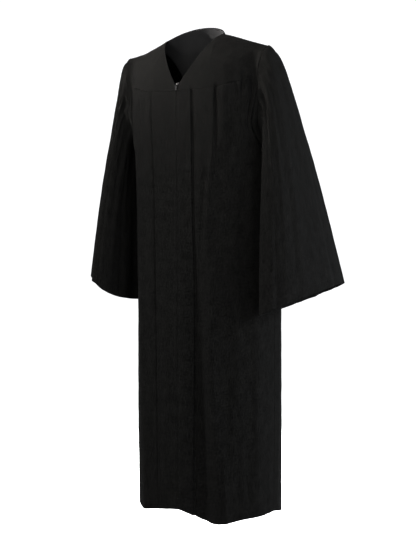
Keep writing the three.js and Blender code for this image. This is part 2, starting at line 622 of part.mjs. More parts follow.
sleeve('sleeve_right', -1, SLEEVES.right);

// ------------------------------------------------------------------ zip
// Strips behind the closure, made from the front's own surface, moved in.
function frontAt(z, x = 0) {
  let s = 0;
  for (let i = 0; i < 5; i++) s += (x - base(-1, s, reachHeight(-1, s, z)).x) / (194 * (Math.PI / 2));
  return base(-1, s, reachHeight(-1, s, z)).y;
}
function strip(name, x0, x1, zTop, zLow, back, thick, kind) {
  const outer = [];
  const inner = [];
  const rows = 16;
  for (let i = 0; i <= rows; i++) {
    const z = mix(zTop, zLow, i / rows);
    outer.push([x0, x1].map((x) => new THREE.Vector3(x, frontAt(z, x) + back, z)));
    inner.push([x0, x1].map((x) => new THREE.Vector3(x, frontAt(z, x) + back + thick, z)));
  }
  return addMesh(name, wall(outer, inner, false), kind);
}
const ZIP_TOP = -V_DEPTH + 2;
const TAPE_X = CHAIN_WIDE / 2 + 0.35;
strip('zip_tape_left', ZIP_X + TAPE_X, ZIP_X + TAPE_X + TAPE_WIDE, ZIP_TOP, ZIP_TOP - ZIP_LENGTH, CLOTH + 0.7, TAPE_THICK, 'tape');
strip('zip_tape_right', ZIP_X - TAPE_X - TAPE_WIDE, ZIP_X - TAPE_X, ZIP_TOP, ZIP_TOP - ZIP_LENGTH, CLOTH + 0.7, TAPE_THICK, 'tape');
strip('zip_chain', ZIP_X - CHAIN_WIDE / 2, ZIP_X + CHAIN_WIDE / 2, ZIP_TOP + 3, ZIP_TOP - ZIP_LENGTH, CLOTH + 0.5, CHAIN_THICK, 'plastic');

// The slider: a front and a back plate joined by a post, over the top of the chain, with a bail in front.
const wasm = await Module();
wasm.setup();
const solidOf = (geometry) => {
  const g = geometry.clone();
  g.deleteAttribute('normal');
  g.deleteAttribute('uv');
  const m = mergeVertices(g, 1e-4);
  return new wasm.Manifold(new wasm.Mesh({
    numProp: 3,
    vertProperties: new Float32Array(m.getAttribute('position').array),
    triVerts: new Uint32Array(m.getIndex().array),
  }));
};
const geometryOf = (solid) => {
  const m = solid.getMesh();
  const g = new THREE.BufferGeometry();
  g.setAttribute('position', new THREE.BufferAttribute(new Float32Array(m.vertProperties), 3));
  g.setIndex(new THREE.BufferAttribute(new Uint32Array(m.triVerts), 1));
  return g;
};
// A plate with rounded corners, lying across Y.
function plate(wide, tall, thick, corner, x, y, z) {
  const s = new THREE.Shape();
  const [w, h] = [wide / 2, tall / 2];
  s.moveTo(-w + corner, -h).lineTo(w - corner, -h).absarc(w - corner, -h + corner, corner, -Math.PI / 2, 0)
    .lineTo(w, h - corner).absarc(w - corner, h - corner, corner, 0, Math.PI / 2)
    .lineTo(-w + corner, h).absarc(-w + corner, h - corner, corner, Math.PI / 2, Math.PI)
    .lineTo(-w, -h + corner).absarc(-w + corner, -h + corner, corner, Math.PI, 1.5 * Math.PI);
  const g = new THREE.ExtrudeGeometry(s, { depth: thick, bevelEnabled: false, curveSegments: 3 });
  g.rotateX(Math.PI / 2); // the plate's face to -Y
  g.translate(x, y + thick / 2, z);
  return g;
}
const block = (w, d, h, x, y, z) => new THREE.BoxGeometry(w, d, h).translate(x, y, z);
const tube = (radius, long, x, y, z) => new THREE.CylinderGeometry(radius, radius, long, 10).rotateZ(Math.PI / 2).translate(x, y, z);
const SLIDER = { wide: 5.8, tall: 8, plate: 1.0, z: -V_DEPTH + 9.8, front: 0.5, back: 4.6 };
const PULL = { wide: 4.8, long: 12.5, thick: 1.0, knuckle: 1.35, eye: 0.8, neck: 2.2, hole: 1.2 };
const BAIL = { bar: 0.45, lug: 0.8, apart: 3.0, tall: 2.0 };
const sliderY = frontAt(SLIDER.z);
const PIVOT = { x: ZIP_X, y: frontAt(-V_DEPTH - 7) - 0.7 - PULL.thick / 2, z: SLIDER.z - 3 };
let slider = solidOf(plate(SLIDER.wide, SLIDER.tall, SLIDER.plate, 1.6, ZIP_X, sliderY + SLIDER.front, SLIDER.z));
slider = slider.add(solidOf(plate(SLIDER.wide, SLIDER.tall, SLIDER.plate, 1.6, ZIP_X, sliderY + SLIDER.back, SLIDER.z)));
slider = slider.add(solidOf(block(1.6, SLIDER.back - SLIDER.front, 2.4, ZIP_X, sliderY + (SLIDER.front + SLIDER.back) / 2, SLIDER.z + 2.4)));
const lugLong = sliderY + SLIDER.front - PIVOT.y + 0.8;
for (const end of [-1, 1]) {
  slider = slider.add(solidOf(block(BAIL.lug, lugLong, BAIL.tall, ZIP_X + (end * (BAIL.apart + BAIL.lug)) / 2, PIVOT.y - 0.8 + lugLong / 2, PIVOT.z)));
}
slider = slider.add(solidOf(tube(BAIL.bar, BAIL.apart + BAIL.lug, ZIP_X, PIVOT.y, PIVOT.z)));
addMesh('zip_slider', geometryOf(slider), 'slider');

// The pull: a tapered tab whose knuckle goes round the bar between the slider's two lugs.
const tab = new THREE.Shape();
const [tw, tn] = [PULL.wide / 2, PULL.neck / 2];
tab.moveTo(-tn, 0).lineTo(-tn, -2.6).lineTo(-tw * 0.82, -4.2).lineTo(-tw, -PULL.long + 1.6).absarc(-tw + 1.6, -PULL.long + 1.6, 1.6, Math.PI, 1.5 * Math.PI)
  .lineTo(tw - 1.6, -PULL.long).absarc(tw - 1.6, -PULL.long + 1.6, 1.6, 1.5 * Math.PI, 2 * Math.PI).lineTo(tw * 0.82, -4.2).lineTo(tn, -2.6).lineTo(tn, 0);
const tabHole = new THREE.Path();
tabHole.absarc(0, -PULL.long + 3.2, PULL.hole, 0, 2 * Math.PI, true);
tab.holes.push(tabHole);
const tabSolid = new THREE.ExtrudeGeometry(tab, { depth: PULL.thick, bevelEnabled: false, curveSegments: 4 });
tabSolid.rotateX(Math.PI / 2).translate(PIVOT.x, PIVOT.y + PULL.thick / 2, PIVOT.z);
let pull = solidOf(tabSolid).add(solidOf(tube(PULL.knuckle, PULL.neck, PIVOT.x, PIVOT.y, PIVOT.z)));
pull = pull.subtract(solidOf(tube(PULL.eye, PULL.neck + 2, PIVOT.x, PIVOT.y, PIVOT.z)));
addMesh('zip_pull', geometryOf(pull), 'metal');

export default group;
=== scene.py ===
import math

import bpy
import numpy as np
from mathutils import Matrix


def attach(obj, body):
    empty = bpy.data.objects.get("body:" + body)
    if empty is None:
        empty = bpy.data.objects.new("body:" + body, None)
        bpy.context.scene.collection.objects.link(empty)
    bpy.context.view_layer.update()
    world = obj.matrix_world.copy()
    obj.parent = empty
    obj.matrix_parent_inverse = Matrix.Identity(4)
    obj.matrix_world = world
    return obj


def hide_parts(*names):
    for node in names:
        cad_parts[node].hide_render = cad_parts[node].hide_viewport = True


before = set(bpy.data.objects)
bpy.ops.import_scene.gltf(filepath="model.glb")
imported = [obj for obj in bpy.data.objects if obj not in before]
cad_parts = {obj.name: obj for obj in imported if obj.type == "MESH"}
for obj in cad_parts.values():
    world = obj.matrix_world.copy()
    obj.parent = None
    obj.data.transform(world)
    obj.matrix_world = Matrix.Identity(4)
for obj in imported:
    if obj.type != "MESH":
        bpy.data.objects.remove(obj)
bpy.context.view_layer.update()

# ------------------------------------------------------------------ named sizes, in millimetres
CLOTH = 2.0
SEAM = 0.34
NECK_HALF = 81
NECK_Y = -4
V_DEPTH = 136
BACK_NECK_Y = 52
BACK_NECK_RISE = 38
SHOULDER_Y = 10
ARMPIT_Z = -288
QUARTER = 275
CLOSURE = (-4.5, -9.2)
V_X = -2
FACING_HALF = 100
ZIP_X = -2.2
ZIP_LENGTH = 930


def table(names, rows):
    keys = names.split()
    return [dict(zip(keys, row)) for row in rows]


BODY = table("z half_width front_depth back_depth mid_x mid_y square", [
    (-288, 195, 149, 140, 6, 52, 2.3),
    (-450, 194, 149, 143, 9, 52, 2.25),
    (-700, 194, 149, 146, 10, 52, 2.25),
    (-1000, 193, 148, 148, 10, 53, 2.25),
    (-1260, 191, 145, 150, 9, 54, 2.2),
])
CHEST = table("t drop reach", [
    (0, 0, 0), (0.12, 0.045, 0.24), (0.25, 0.13, 0.5), (0.38, 0.25, 0.74),
    (0.52, 0.4, 0.91), (0.68, 0.58, 0.985), (0.84, 0.79, 1), (1, 1, 1),
])
BLADES = table("t drop reach", [
    (0, 0, 0), (0.12, 0.07, 0.2), (0.25, 0.17, 0.42), (0.38, 0.3, 0.65),
    (0.52, 0.44, 0.84), (0.68, 0.61, 0.95), (0.84, 0.8, 0.99), (1, 1, 1),
])
RIDGE = table("out right_z left_z", [
    (81, 3, 9), (105, -7, 3), (130, -16, -5), (160, -26, -15), (205, -33, -29),
])
NAPE = table("out y z", [(0, 50, 37), (35, 42, 30), (81, 15, 9), (130, 5, -10), (205, 10, -31)])
ARMHOLE = table("drop front_y back_y half_x", [
    (0, 10, 10, 205), (0.08, -14, 40, 202), (0.25, -26, 66, 196), (0.5, -28, 84, 194),
    (0.75, -18, 88, 197), (0.92, 14, 76, 197), (1, 52, 52, 195),
])
FRONT_YOKE = table("s z", [(0, -142), (0.3, -139), (0.55, -124), (0.8, -118), (1, -96)])
BACK_YOKE = table("s z", [(0, -122), (0.5, -124), (1, -126)])
FRONT_HEM = table("s z", [
    (-1, -1203), (-0.75, -1206), (-0.6, -1211), (-0.45, -1219), (-0.2, -1213), (-0.04, -1210),
    (0.07, -1219), (0.2, -1235), (0.33, -1242), (0.6, -1231), (1, -1218),
])
BACK_HEM = table("s z", [(-1, -1203), (-0.5, -1224), (0, -1230), (0.5, -1230), (1, -1218)])
FRONT_PLEATS = table("top low faces step_top step_low hollow", [
    (-126, -116, -1, 1.0, 0, 26),
    (-77, -67, -1, 1.4, 3.4, 26),
    (34, 30, 1, 1.4, 3.6, 24),
    (95, 66, 1, 1.6, 0, 26),
])
BACK_PLEATS = table("top low faces step_top step_low hollow", [
    (-118, -136, -1, 1.4, 0.6, 26),
    (-58, -66, -1, 1.4, 2.4, 28),
    (58, 64, 1, 1.4, 2.4, 28),
    (120, 134, 1, 1.4, 0.6, 26),
])
FOLD_KEYS = "z_top round_top z_mid round_mid z_low round_low high wide"
FRONT_FOLDS = table(FOLD_KEYS, [
    (-150, 90, -520, 57, -1300, 108, 7, 19),
    (-420, 46, -800, 48, -1300, 62, -9, 17),
    (-180, 178, -500, 160, -760, 165, -3, 16),
    (-600, 196, -900, 205, -1300, 212, 3.5, 26),
    (-260, -150, -700, -132, -1300, -126, 5, 20),
    (-600, -96, -900, -94, -1300, -92, -4, 15),
    (-500, -206, -900, -200, -1300, -190, -4, 20),
])
BACK_FOLDS = table(FOLD_KEYS, [
    (-200, -150, -700, -160, -1300, -170, 6, 22),
    (-260, -96, -700, -104, -1300, -112, -6, 18),
    (-200, -40, -700, -42, -1300, -36, 5, 22),
    (-330, 4, -800, 8, -1300, 4, -7, 20),
    (-200, 44, -700, 46, -1300, 50, 6, 20),
    (-300, 92, -700, 100, -1300, 112, -5, 20),
    (-200, 150, -700, 158, -1300, 172, 5, 24),
])
SLEEVES = {
    "left": dict(cuff_x=265, cuff_y=92, cuff_z=-675, out=71, into=60, deep=203, rise_out=0.4, rise_in=0.4, rise_back=0.15,
                 top_x=224, top_y=26, top_z=-60, top_half=28, top_deep=54, puff=41),
    "right": dict(cuff_x=243, cuff_y=86, cuff_z=-625, out=51, into=47, deep=188, rise_out=0.62, rise_in=1.05, rise_back=0.05,
                  top_x=218, top_y=22, top_z=-60, top_half=24, top_deep=50, puff=26),
}
SLEEVE_FOLDS = table("at high wide start peak end", [
    (78, -5, 9, 0, 0.1, 0.62), (60, 3.6, 9, 0, 0.1, 0.55), (40, -3, 9, 0, 0.08, 0.34),
    (20, 3.4, 10, 0, 0.07, 0.4), (0, -2.4, 9, 0, 0.07, 0.3), (341, 3, 9, 0, 0.08, 0.4),
    (322, -3.4, 9, 0, 0.08, 0.4), (302, 3.4, 10, 0, 0.1, 0.6), (284, -5, 10, 0, 0.12, 0.7),
    (108, 6, 14, 0.1, 0.5, 1.3), (40, 5, 22, 0.3, 0.9, 1.6), (320, -7, 20, 0.3, 0.9, 1.6),
])


# ------------------------------------------------------------------ small helpers
def clamp(v, a, b):
    return np.minimum(b, np.maximum(a, v))


def mix(a, b, k):
    return a + (b - a) * k


def smooth(a, b, v):
    k = clamp((v - a) / (b - a), 0, 1)
    return k * k * (3 - 2 * k)


def bell(d, wide):
    return np.exp(-0.5 * (d / wide) ** 2)


def unit(v):
    return v / np.maximum(1e-12, np.linalg.norm(v, axis=-1, keepdims=True))


def through(rows, a, b):
    """A smooth curve through a table's rows that never overshoots them."""
    x = np.array([r[a] for r in rows], float)
    y = np.array([r[b] for r in rows], float)
    n = len(x)
    d = np.diff(y) / np.diff(x)
    m = np.zeros(n)
    m[0], m[-1] = d[0], d[-1]
    for i in range(1, n - 1):
        if d[i - 1] * d[i] > 0:
            m[i] = 2 * d[i - 1] * d[i] / (d[i - 1] + d[i])
    sign = 1 if x[1] > x[0] else -1

    def curve(v):
        v = np.asarray(v, float)
        i = np.clip(np.searchsorted(sign * x, sign * v, side="left") - 1, 0, n - 2)
        h = x[i + 1] - x[i]
        k = clamp((v - x[i]) / h, 0, 1)
        k2 = k * k
        k3 = k2 * k
        return (y[i] * (2 * k3 - 3 * k2 + 1) + m[i] * h * (k3 - 2 * k2 + k)
                + y[i + 1] * (3 * k2 - 2 * k3) + m[i + 1] * h * (k3 - k2))
    return curve


body = {k: through(BODY, "z", k) for k in ("half_width", "front_depth", "back_depth", "mid_x", "mid_y", "square")}
chest = {k: through(CHEST, "t", k) for k in ("drop", "reach")}
blades = {k: through(BLADES, "t", k) for k in ("drop", "reach")}
arm = {k: through(ARMHOLE, "drop", k) for k in ("front_y", "back_y", "half_x")}
ridge_right = through(RIDGE, "out", "right_z")
ridge_left = through(RIDGE, "out", "left_z")
nape = {k: through(NAPE, "out", k) for k in ("y", "z")}
yoke_front = through(FRONT_YOKE, "s", "z")
yoke_back = through(BACK_YOKE, "s", "z")
hem_front = through(FRONT_HEM, "s", "z")
hem_back = through(BACK_HEM, "s", "z")


# ------------------------------------------------------------------ the body's surface
def base(face, s, t):
    """face is -1 for the front, +1 for the back; s from right (-1) to left (1); t from the ridge (0) to the armpits (1) to the hem (2)."""
    s, t = np.broadcast_arrays(np.asarray(s, float), np.asarray(t, float))
    sine0 = np.sin(s * np.pi / 2)
    # below the armpits
    z = mix(ARMPIT_Z, (hem_front if face < 0 else hem_back)(s), np.maximum(0, t - 1))
    deep = body["front_depth" if face < 0 else "back_depth"](z)
    p = body["square"](z)
    sec = np.maximum(0, 1 - np.abs(sine0) ** p) ** (1 / p)
    low = np.stack([body["mid_x"](z) + body["half_width"](z) * sine0, body["mid_y"](z) + face * deep * sec, z], -1)
    # above them
    part = chest if face < 0 else blades
    u = np.minimum(1, t)
    drop = part["drop"](u)
    half = arm["half_x"](drop)
    p = mix(3, float(body["square"](ARMPIT_Z)), drop)
    deep = float(body["front_depth" if face < 0 else "back_depth"](ARMPIT_Z))
    mid_x, mid_y = float(body["mid_x"](ARMPIT_Z)), float(body["mid_y"](ARMPIT_Z))
    edge = arm["front_y" if face < 0 else "back_y"](drop)
    cut = smooth(0.45, 0.85, drop)
    deep_at_edge = clamp(np.abs(edge - mid_y) / deep, 0, 1)
    side_share = np.arcsin(np.minimum(1, np.maximum(0, 1 - deep_at_edge ** p) ** (1 / p))) / (np.pi / 2)
    sine = np.sin(s * (1 - cut * (1 - side_share) * smooth(0.5, 1, np.abs(s))) * np.pi / 2)
    x = mid_x * drop + half * sine
    away = np.abs(x)
    k = clamp(1 - (away / NECK_HALF) ** 2, 0, 1)
    neck = mix(RIDGE[0]["right_z"], RIDGE[0]["left_z"], (x / NECK_HALF + 1) / 2)
    if face < 0:
        in_y, in_z = np.full_like(x, NECK_Y), neck + 6 * k
    else:
        in_y, in_z = mix(NECK_Y, BACK_NECK_Y, np.sqrt(k)), mix(neck, BACK_NECK_RISE, k ** 0.62)
    kk = (away - NECK_HALF) / (205 - NECK_HALF)
    out_y = mix(NECK_Y, SHOULDER_Y, kk)
    out_z = np.where(x < 0, ridge_right(away), ridge_left(away))
    inside = away <= NECK_HALF
    ridge_y, ridge_z = np.where(inside, in_y, out_y), np.where(inside, in_z, out_z)
    if face > 0:
        ease = smooth(0, 0.22, u)
        ridge_y = mix(ridge_y, nape["y"](away), ease)
        ridge_z = mix(ridge_z, nape["z"](away) + np.where(x < 0, -2, 2) * smooth(0, 60, away), ease)
    reach = part["reach"](u)
    sine_at_edge = np.sin((1 - cut * (1 - side_share)) * np.pi / 2)
    ending = smooth(0.84, 1, np.abs(sine) / sine_at_edge)
    edge_ridge = mix(ridge_y, SHOULDER_Y, ending)
    plain_at_edge = mix(edge_ridge, mid_y + face * deep * np.maximum(0, 1 - sine_at_edge ** p) ** (1 / p), reach)
    plain = mix(ridge_y, mid_y + face * deep * np.maximum(0, 1 - np.abs(sine) ** p) ** (1 / p), reach)
    y = mix(plain, edge, ending * (1 - cut)) + cut * (edge - plain_at_edge) * ending
    high = np.stack([x, y, mix(ridge_z, ARMPIT_Z, drop)], -1)
    return np.where((t >= 1)[..., None], low, high)


def outward(face, s, t):
    s, t = np.broadcast_arrays(np.asarray(s, float), np.asarray(t, float))
    e = 0.004
    s0, s1 = clamp(s - e, -1, 1), clamp(s + e, -1, 1)
    t0 = np.where(t < 1, np.maximum(0, t - e), np.maximum(1, t - e))
    t1 = np.where(t < 1, np.minimum(1 - 1e-9, t + e), np.minimum(2, t + e))
    ds = base(face, s1, t) - base(face, s0, t)
    dt = base(face, s, t1) - base(face, s, t0)
    return unit(np.cross(ds, dt) * face)


def across(face, s, t):
    """The direction a wall's thickness runs in: at a shoulder seam or side seam both pieces share one."""
    s, t = np.broadcast_arrays(np.asarray(s, float), np.asarray(t, float))
    n = outward(face, s, t)
    at_ridge = (t < 1e-6) & (np.abs(base(face, s, 0 * t)[..., 0]) > NECK_HALF - 0.5)
    if at_ridge.any():
        both = unit(outward(-1, s, 0 * t) + outward(1, s, 0 * t))
        n = np.where(at_ridge[..., None], both, n)
    side = (np.abs(s) > 0.9999) & (t > 0.9999)
    return np.where(side[..., None], np.stack([np.sign(s), 0 * s, 0 * s], -1), n)


def pleat_step(p, down):
    step = mix(p["step_top"], p["step_low"], smooth(0, 0.12, down))
    if p["step_low"] == 0:
        step = step + p["step_top"] * smooth(0, 0.04, down) * (1 - smooth(0.1, 0.25, down))
    return step


def relief(face, s, z, top=-140, low=-1225):
    """How far the cloth stands off its plain surface: pleats and largest folds, as in the solids."""
    rnd = s * QUARTER
    down = clamp((top - z) / (top - low), 0, 1)
    off = np.zeros_like(rnd + z)
    for p in FRONT_PLEATS if face < 0 else BACK_PLEATS:
        q = (rnd - mix(p["top"], p["low"], down)) * p["faces"]
        k = clamp(1 - q / p["hollow"], 0, 1) ** 1.5
        off -= np.where(q > 0, pleat_step(p, down) * k, 0)
    for f in FRONT_FOLDS if face < 0 else BACK_FOLDS:
        span = f["z_top"] - f["z_low"]
        along = (f["z_top"] - z) / span
        bend = (f["z_top"] - f["z_mid"]) / span
        at = np.where(along < bend, mix(f["round_top"], f["round_mid"], smooth(0, bend, along)),
                      mix(f["round_mid"], f["round_low"], smooth(bend, 1, along)))
        fade = 1 if f["z_low"] < -1250 else 1 - smooth(0.7, 1, along)
        off += np.where((along > 0) & (along < 1), f["high"] * bell(rnd - at, f["wide"]) * smooth(0, 0.3, along) * fade, 0)
    return off * smooth(0, 18, (1 - np.abs(s)) * QUARTER)


def reach_height(face, s, z):
    """The t at which a column of the surface reaches the height z."""
    s, z = np.broadcast_arrays(np.asarray(s, float), np.asarray(z, float))
    a, b = np.zeros(s.shape), np.full(s.shape, 2.0)
    for _ in range(44):
        m = (a + b) / 2
        above = base(face, s, m)[..., 2] > z
        a, b = np.where(above, m, a), np.where(above, b, m)
    return (a + b) / 2


def neck_start(s):
    """The V: straight edges that bow in a little, from the neck points to the bottom."""
    s = np.asarray(s, float)
    t = np.full(s.shape, 0.2)
    for _ in range(8):
        x = base(-1, s, t)[..., 0]
        k = np.minimum(1, np.abs(x - V_X * (1 - np.abs(x) / NECK_HALF)) / NECK_HALF)
        side = np.where(x < 0, RIDGE[0]["right_z"], RIDGE[0]["left_z"])
        t = reach_height(-1, s, mix(side, -V_DEPTH, (1 - k) ** 0.96))
    return np.where(np.abs(base(-1, s, 0 * s)[..., 0]) >= NECK_HALF - 0.01, 0, t)


def yoke_line_front(s):
    return reach_height(-1, s, yoke_front(np.abs(s)))


def yoke_line_back(s):
    return reach_height(1, s, yoke_back(np.abs(s)))


NECK_ROUND = np.arcsin(NECK_HALF / ARMHOLE[0]["half_x"]) / (np.pi / 2) * QUARTER


# ------------------------------------------------------------------ fine shape of the cloth
THICK = 0.36  # the cloth itself


def waves(a, b, terms):
    """A smooth uneven field, from a short table of waves: size, length across, length along, phase."""
    out = 0
    for size, across_mm, along_mm, phase in terms:
        out = out + size * np.sin(2 * np.pi * (a / across_mm + b / along_mm) + phase)
    return out


# long soft waves of hanging cloth: they grow towards the hem
HANG = [(0.9, 83, 2300, 0.4), (0.7, 61, -1700, 2.1), (0.55, 47, 1300, 4.0), (0.35, 34, -900, 1.2), (0.22, 23, 700, 5.1)]
# small uneven dents of a worn cloth
CREPE = [(0.16, 27, 90, 0.3), (0.13, -39, 61, 1.9), (0.10, 19, -47, 4.4), (0.08, 15, 33, 2.7)]

# Creases drawn one by one: points as (round, z), height and width; below 0 is a trough.
FRONT_CREASES = [
    # the two deep folds that fan down from the yoke near the left armhole
    ([(152, -122), (156, -150), (158, -185)], -3.6, 2.6),
    ([(164, -116), (163, -150), (160, -200)], 2.0, 5.0),
    ([(178, -88), (174, -130), (168, -190)], -5.6, 3.2),
    ([(190, -84), (188, -130), (182, -210)], 3.0, 6.0),
    ([(208, -84), (209, -140), (206, -300)], -4.2, 4.6),
    ([(222, -110), (221, -190), (212, -330)], 3.0, 6.0),
    ([(238, -130), (238, -220), (228, -380)], -4.0, 5.0),
    # the same, weaker, at the right armhole
    ([(-176, -90), (-176, -130), (-166, -200)], -2.8, 4.2),
    ([(-205, -95), (-206, -160), (-196, -260)], -3.2, 5.0),
    ([(-222, -110), (-216, -190), (-204, -320)], 2.4, 7.0),
    # the pleat by the left chest: its line, and the ridge that it turns into
    ([(97.5, -131), (94, -260), (86, -400)], -4.2, 2.2),
    ([(92, -250), (74, -400), (58, -700)], 4.6, 6.5),
    ([(82, -260), (62, -420), (46, -760)], -4.6, 5.5),
    # the long valley beside the left pleat, and the fold that stands up from the hem
    ([(56, -480), (52, -900), (60, -1236), (66, -1700)], -9.0, 11.0),
    ([(36, -330), (32, -700), (36, -1236), (38, -1700)], -7.0, 12.0),
    ([(86, -430), (80, -800), (86, -1000), (104, -1236), (120, -1700)], 6.0, 10.0),
    ([(108, -1020), (114, -1150), (118, -1236), (124, -1500)], 3.2, 3.4),
    # soft drags below the yoke
    ([(60, -146), (58, -200), (52, -290)], -0.9, 7.0),
    ([(122, -132), (116, -220), (104, -380)], 1.6, 9.0),
    ([(136, -130), (130, -240), (122, -420)], -1.8, 8.0),
    ([(-40, -146), (-42, -210), (-44, -300)], 0.7, 8.0),
    ([(-100, -140), (-98, -220), (-92, -340)], -1.2, 8.0),
    ([(-104, -140), (-106, -175), (-108, -230)], -1.6, 1.8),
]
BACK_CREASES = [
    ([(205, -90), (206, -160), (198, -250)], -2.6, 6.5),
    ([(222, -110), (216, -200), (204, -320)], 2.2, 8.0),
    ([(-205, -90), (-206, -160), (-198, -250)], -2.6, 6.5),
    ([(-222, -110), (-216, -200), (-204, -320)], 2.2, 8.0),
    ([(90, -130), (92, -220), (96, -360)], 1.2, 9.0),
    ([(-90, -130), (-92, -220), (-96, -360)], 1.2, 9.0),
    ([(0, -128), (3, -240), (4, -420)], -1.4, 9.0),
]


def crease_off(rnd, z, creases):
    out = np.zeros_like(rnd + z)
    for points, high, wide in creases:
        zs = np.array([p[1] for p in points][::-1], float)
        rs = np.array([p[0] for p in points][::-1], float)
        at = np.interp(z, zs, rs)
        span = zs[-1] - zs[0]
        at_seam = zs[-1] > -138 and zs[-1] < -130
        k = smooth(zs[0], zs[0] + 0.55 * span, z) * (1 - smooth(zs[-1] - 2, zs[-1] + 3, z) if at_seam else 1 - smooth(zs[-1] - 0.22 * span, zs[-1], z))
        out += high * k * bell(rnd - at, wide * (1 + 0.6 * (1 - k)))
    return out


def fine_relief(face, s, z):
    """What the solids' relief leaves out: waves, dents and small creases."""
    rnd = s * QUARTER
    side = smooth(2, 34, (1 - np.abs(s)) * QUARTER)
    low = smooth(-150, -1230, z)
    seam = smooth(0, 46, (yoke_front if face < 0 else yoke_back)(np.abs(s)) - z)
    middle = smooth(14, 40, np.abs(rnd + 6)) if face < 0 else 1
    wave = waves(rnd + (0 if face < 0 else 137), z, HANG) * mix(0.25, 1.15, low)
    dent = waves(rnd, z + (0 if face < 0 else 55), CREPE)
    crease = crease_off(rnd, z, FRONT_CREASES if face < 0 else BACK_CREASES)
    # the valley keeps its depth to the hem
    down = clamp((-140 - z) / (1225 - 140), 0, 1)
    if face < 0:
        crease = crease - 2.5 * smooth(-760, -1060, z) * bell(rnd - 57, 12)
    for p in FRONT_PLEATS if face < 0 else BACK_PLEATS:
        q = (rnd - mix(p["top"], p["low"], down)) * p["faces"]
        k = clamp(pleat_step(p, down) / 1.9, 0, 1.45) * smooth(0, 0.01, down)
        crease = crease - 2.2 * k * bell(q - 2.4, 2.0) * (q > -0.5) + 0.55 * k * bell(q + 3.5, 3.0)
    return (wave * seam * middle + dent * mix(0.5, 1, seam)) * side + crease * smooth(0, 14, (1 - np.abs(s)) * QUARTER)


# ------------------------------------------------------------------ edges: (distance from the edge, depth)
TURNED = [(15, 1.75), (8, 1.75), (3, 1.7), (1.1, 1.5), (0.3, 1.15), (0, 0.8), (0.2, 0.4), (0.8, 0.1), (2, 0), (4, 0)]
SEWN = [(0.0, 6), (0.0, 4), (0.005, 2.6), (0.02, 1.5), (0.1, 0.8), (0.26, 0.34), (0.6, 0.11), (1.2, 0.03), (2.4, 0), (5, 0)]
HEM = [(24, 1.6), (22, 1.62), (14, 1.65), (5, 1.65), (1.6, 1.5), (0.4, 1.15), (0, 0.8), (0.25, 0.4), (1, 0.1), (2.4, 0), (5, 0)]
# a pressed fold's section: distance past its edge, and how far down the step it lies
PLEAT = [(-3.5, 0), (-1.6, 0.01), (-0.6, 0.06), (-0.1, 0.2), (0, 0.32), (-0.25, 0.44), (-1.0, 0.5), (-3.5, 0.53), (-6.5, 0.57),
         (-7.1, 0.76), (-6.5, 0.96), (-3.5, 0.98), (-1.0, 1.0), (1.4, None)]


class Columns:
    """Columns of a panel: place round it at the top and at the low end, how deep an edge sinks, and the pleat it belongs to."""

    def __init__(self):
        self.rows = []

    def add(self, top, low, sink=0.0, pleat=None, past=0.0, share=0.0, flat=0.0):
        self.rows.append((top, low, sink, pleat, past, share, flat))

    def arrays(self):
        get = lambda i: np.array([r[i] for r in self.rows], float)
        return get(0), get(1), get(2), get(4), get(5), get(6), [r[3] for r in self.rows]


def columns(pleats, start, end, start_edge, end_edge, step):
    """start and end are (top, low) places; each edge is a section such as SEWN or TURNED."""
    c = Columns()
    for d, depth in start_edge:
        c.add(start[0] + d, start[1] + d, depth)
    from_d, to_d = start_edge[-1][0], end_edge[-1][0]
    keys = [(start[0] + from_d, start[1] + from_d, None)]
    for p in pleats:
        if start[0] + 12 < p["top"] < end[0] - 12:
            keys.append((p["top"], p["low"], p))
    keys.append((end[0] - to_d, end[1] - to_d, None))
    for i in range(len(keys) - 1):
        a, b = keys[i], keys[i + 1]
        # regular columns keep clear of a pleat's own section
        a0 = a[0] + (edge_room(a[2], 1) if a[2] else 0)
        a1 = a[1] + (edge_room(a[2], 1) if a[2] else 0)
        b0 = b[0] - (edge_room(b[2], -1) if b[2] else 0)
        b1 = b[1] - (edge_room(b[2], -1) if b[2] else 0)
        n = max(2, int(round((b0 - a0) / step)))
        for k in range(1 if i == 0 else 0, n + (0 if b[2] is None else 1)):
            w = k / n
            c.add(mix(a0, b0, w), mix(a1, b1, w))
        if b[2] is not None:
            p = b[2]
            section = PLEAT if p["faces"] > 0 else PLEAT[::-1]
            m = len(section)
            for j, (past, share) in enumerate(section):
                jj = j if p["faces"] > 0 else m - 1 - j
                c.add(p["top"], p["low"], 0, p, past, -1 if share is None else share, mix(-3.5, 1.4, jj / (m - 1)))
    for d, depth in end_edge[::-1]:
        c.add(end[0] - d, end[1] - d, depth)
    return c


def edge_room(p, side):
    """How far the next regular column stays from a pleat's edge, after it (side 1) or before it (-1)."""
    after = side == p["faces"]
    return 3.2 if after else 6.0


def along(path_t, L, pos):
    """Columns' t at a distance pos down each column."""
    out = np.empty((pos.shape[0], pos.shape[1]))
    for j in range(pos.shape[1]):
        out[:, j] = np.interp(pos[:, j], L[:, j], path_t[:, j])
    return out


def rows_plan(start_edge, end_edge, n, lengths):
    """Distance down each column, and depth, of every row. start_edge may be one section or a list, one for each column."""
    cols = len(lengths)
    per = isinstance(start_edge[0][0], tuple)
    a = np.array(start_edge, float) if per else np.repeat(np.array(start_edge, float)[None], cols, 0)
    b = np.repeat(np.array(end_edge, float)[None], cols, 0)[:, ::-1]
    first, last = a[:, -1, 0], lengths - b[:, 0, 0]
    w = np.linspace(0, 1, n + 2)[1:-1]
    inner = first[None] + (last - first)[None] * w[:, None]
    pos = np.concatenate([a[:, :, 0].T, inner, lengths[None] - b[:, :, 0].T])
    depth = np.concatenate([a[:, :, 1].T, np.zeros((n, cols)), b[:, :, 1].T])
    return pos, depth


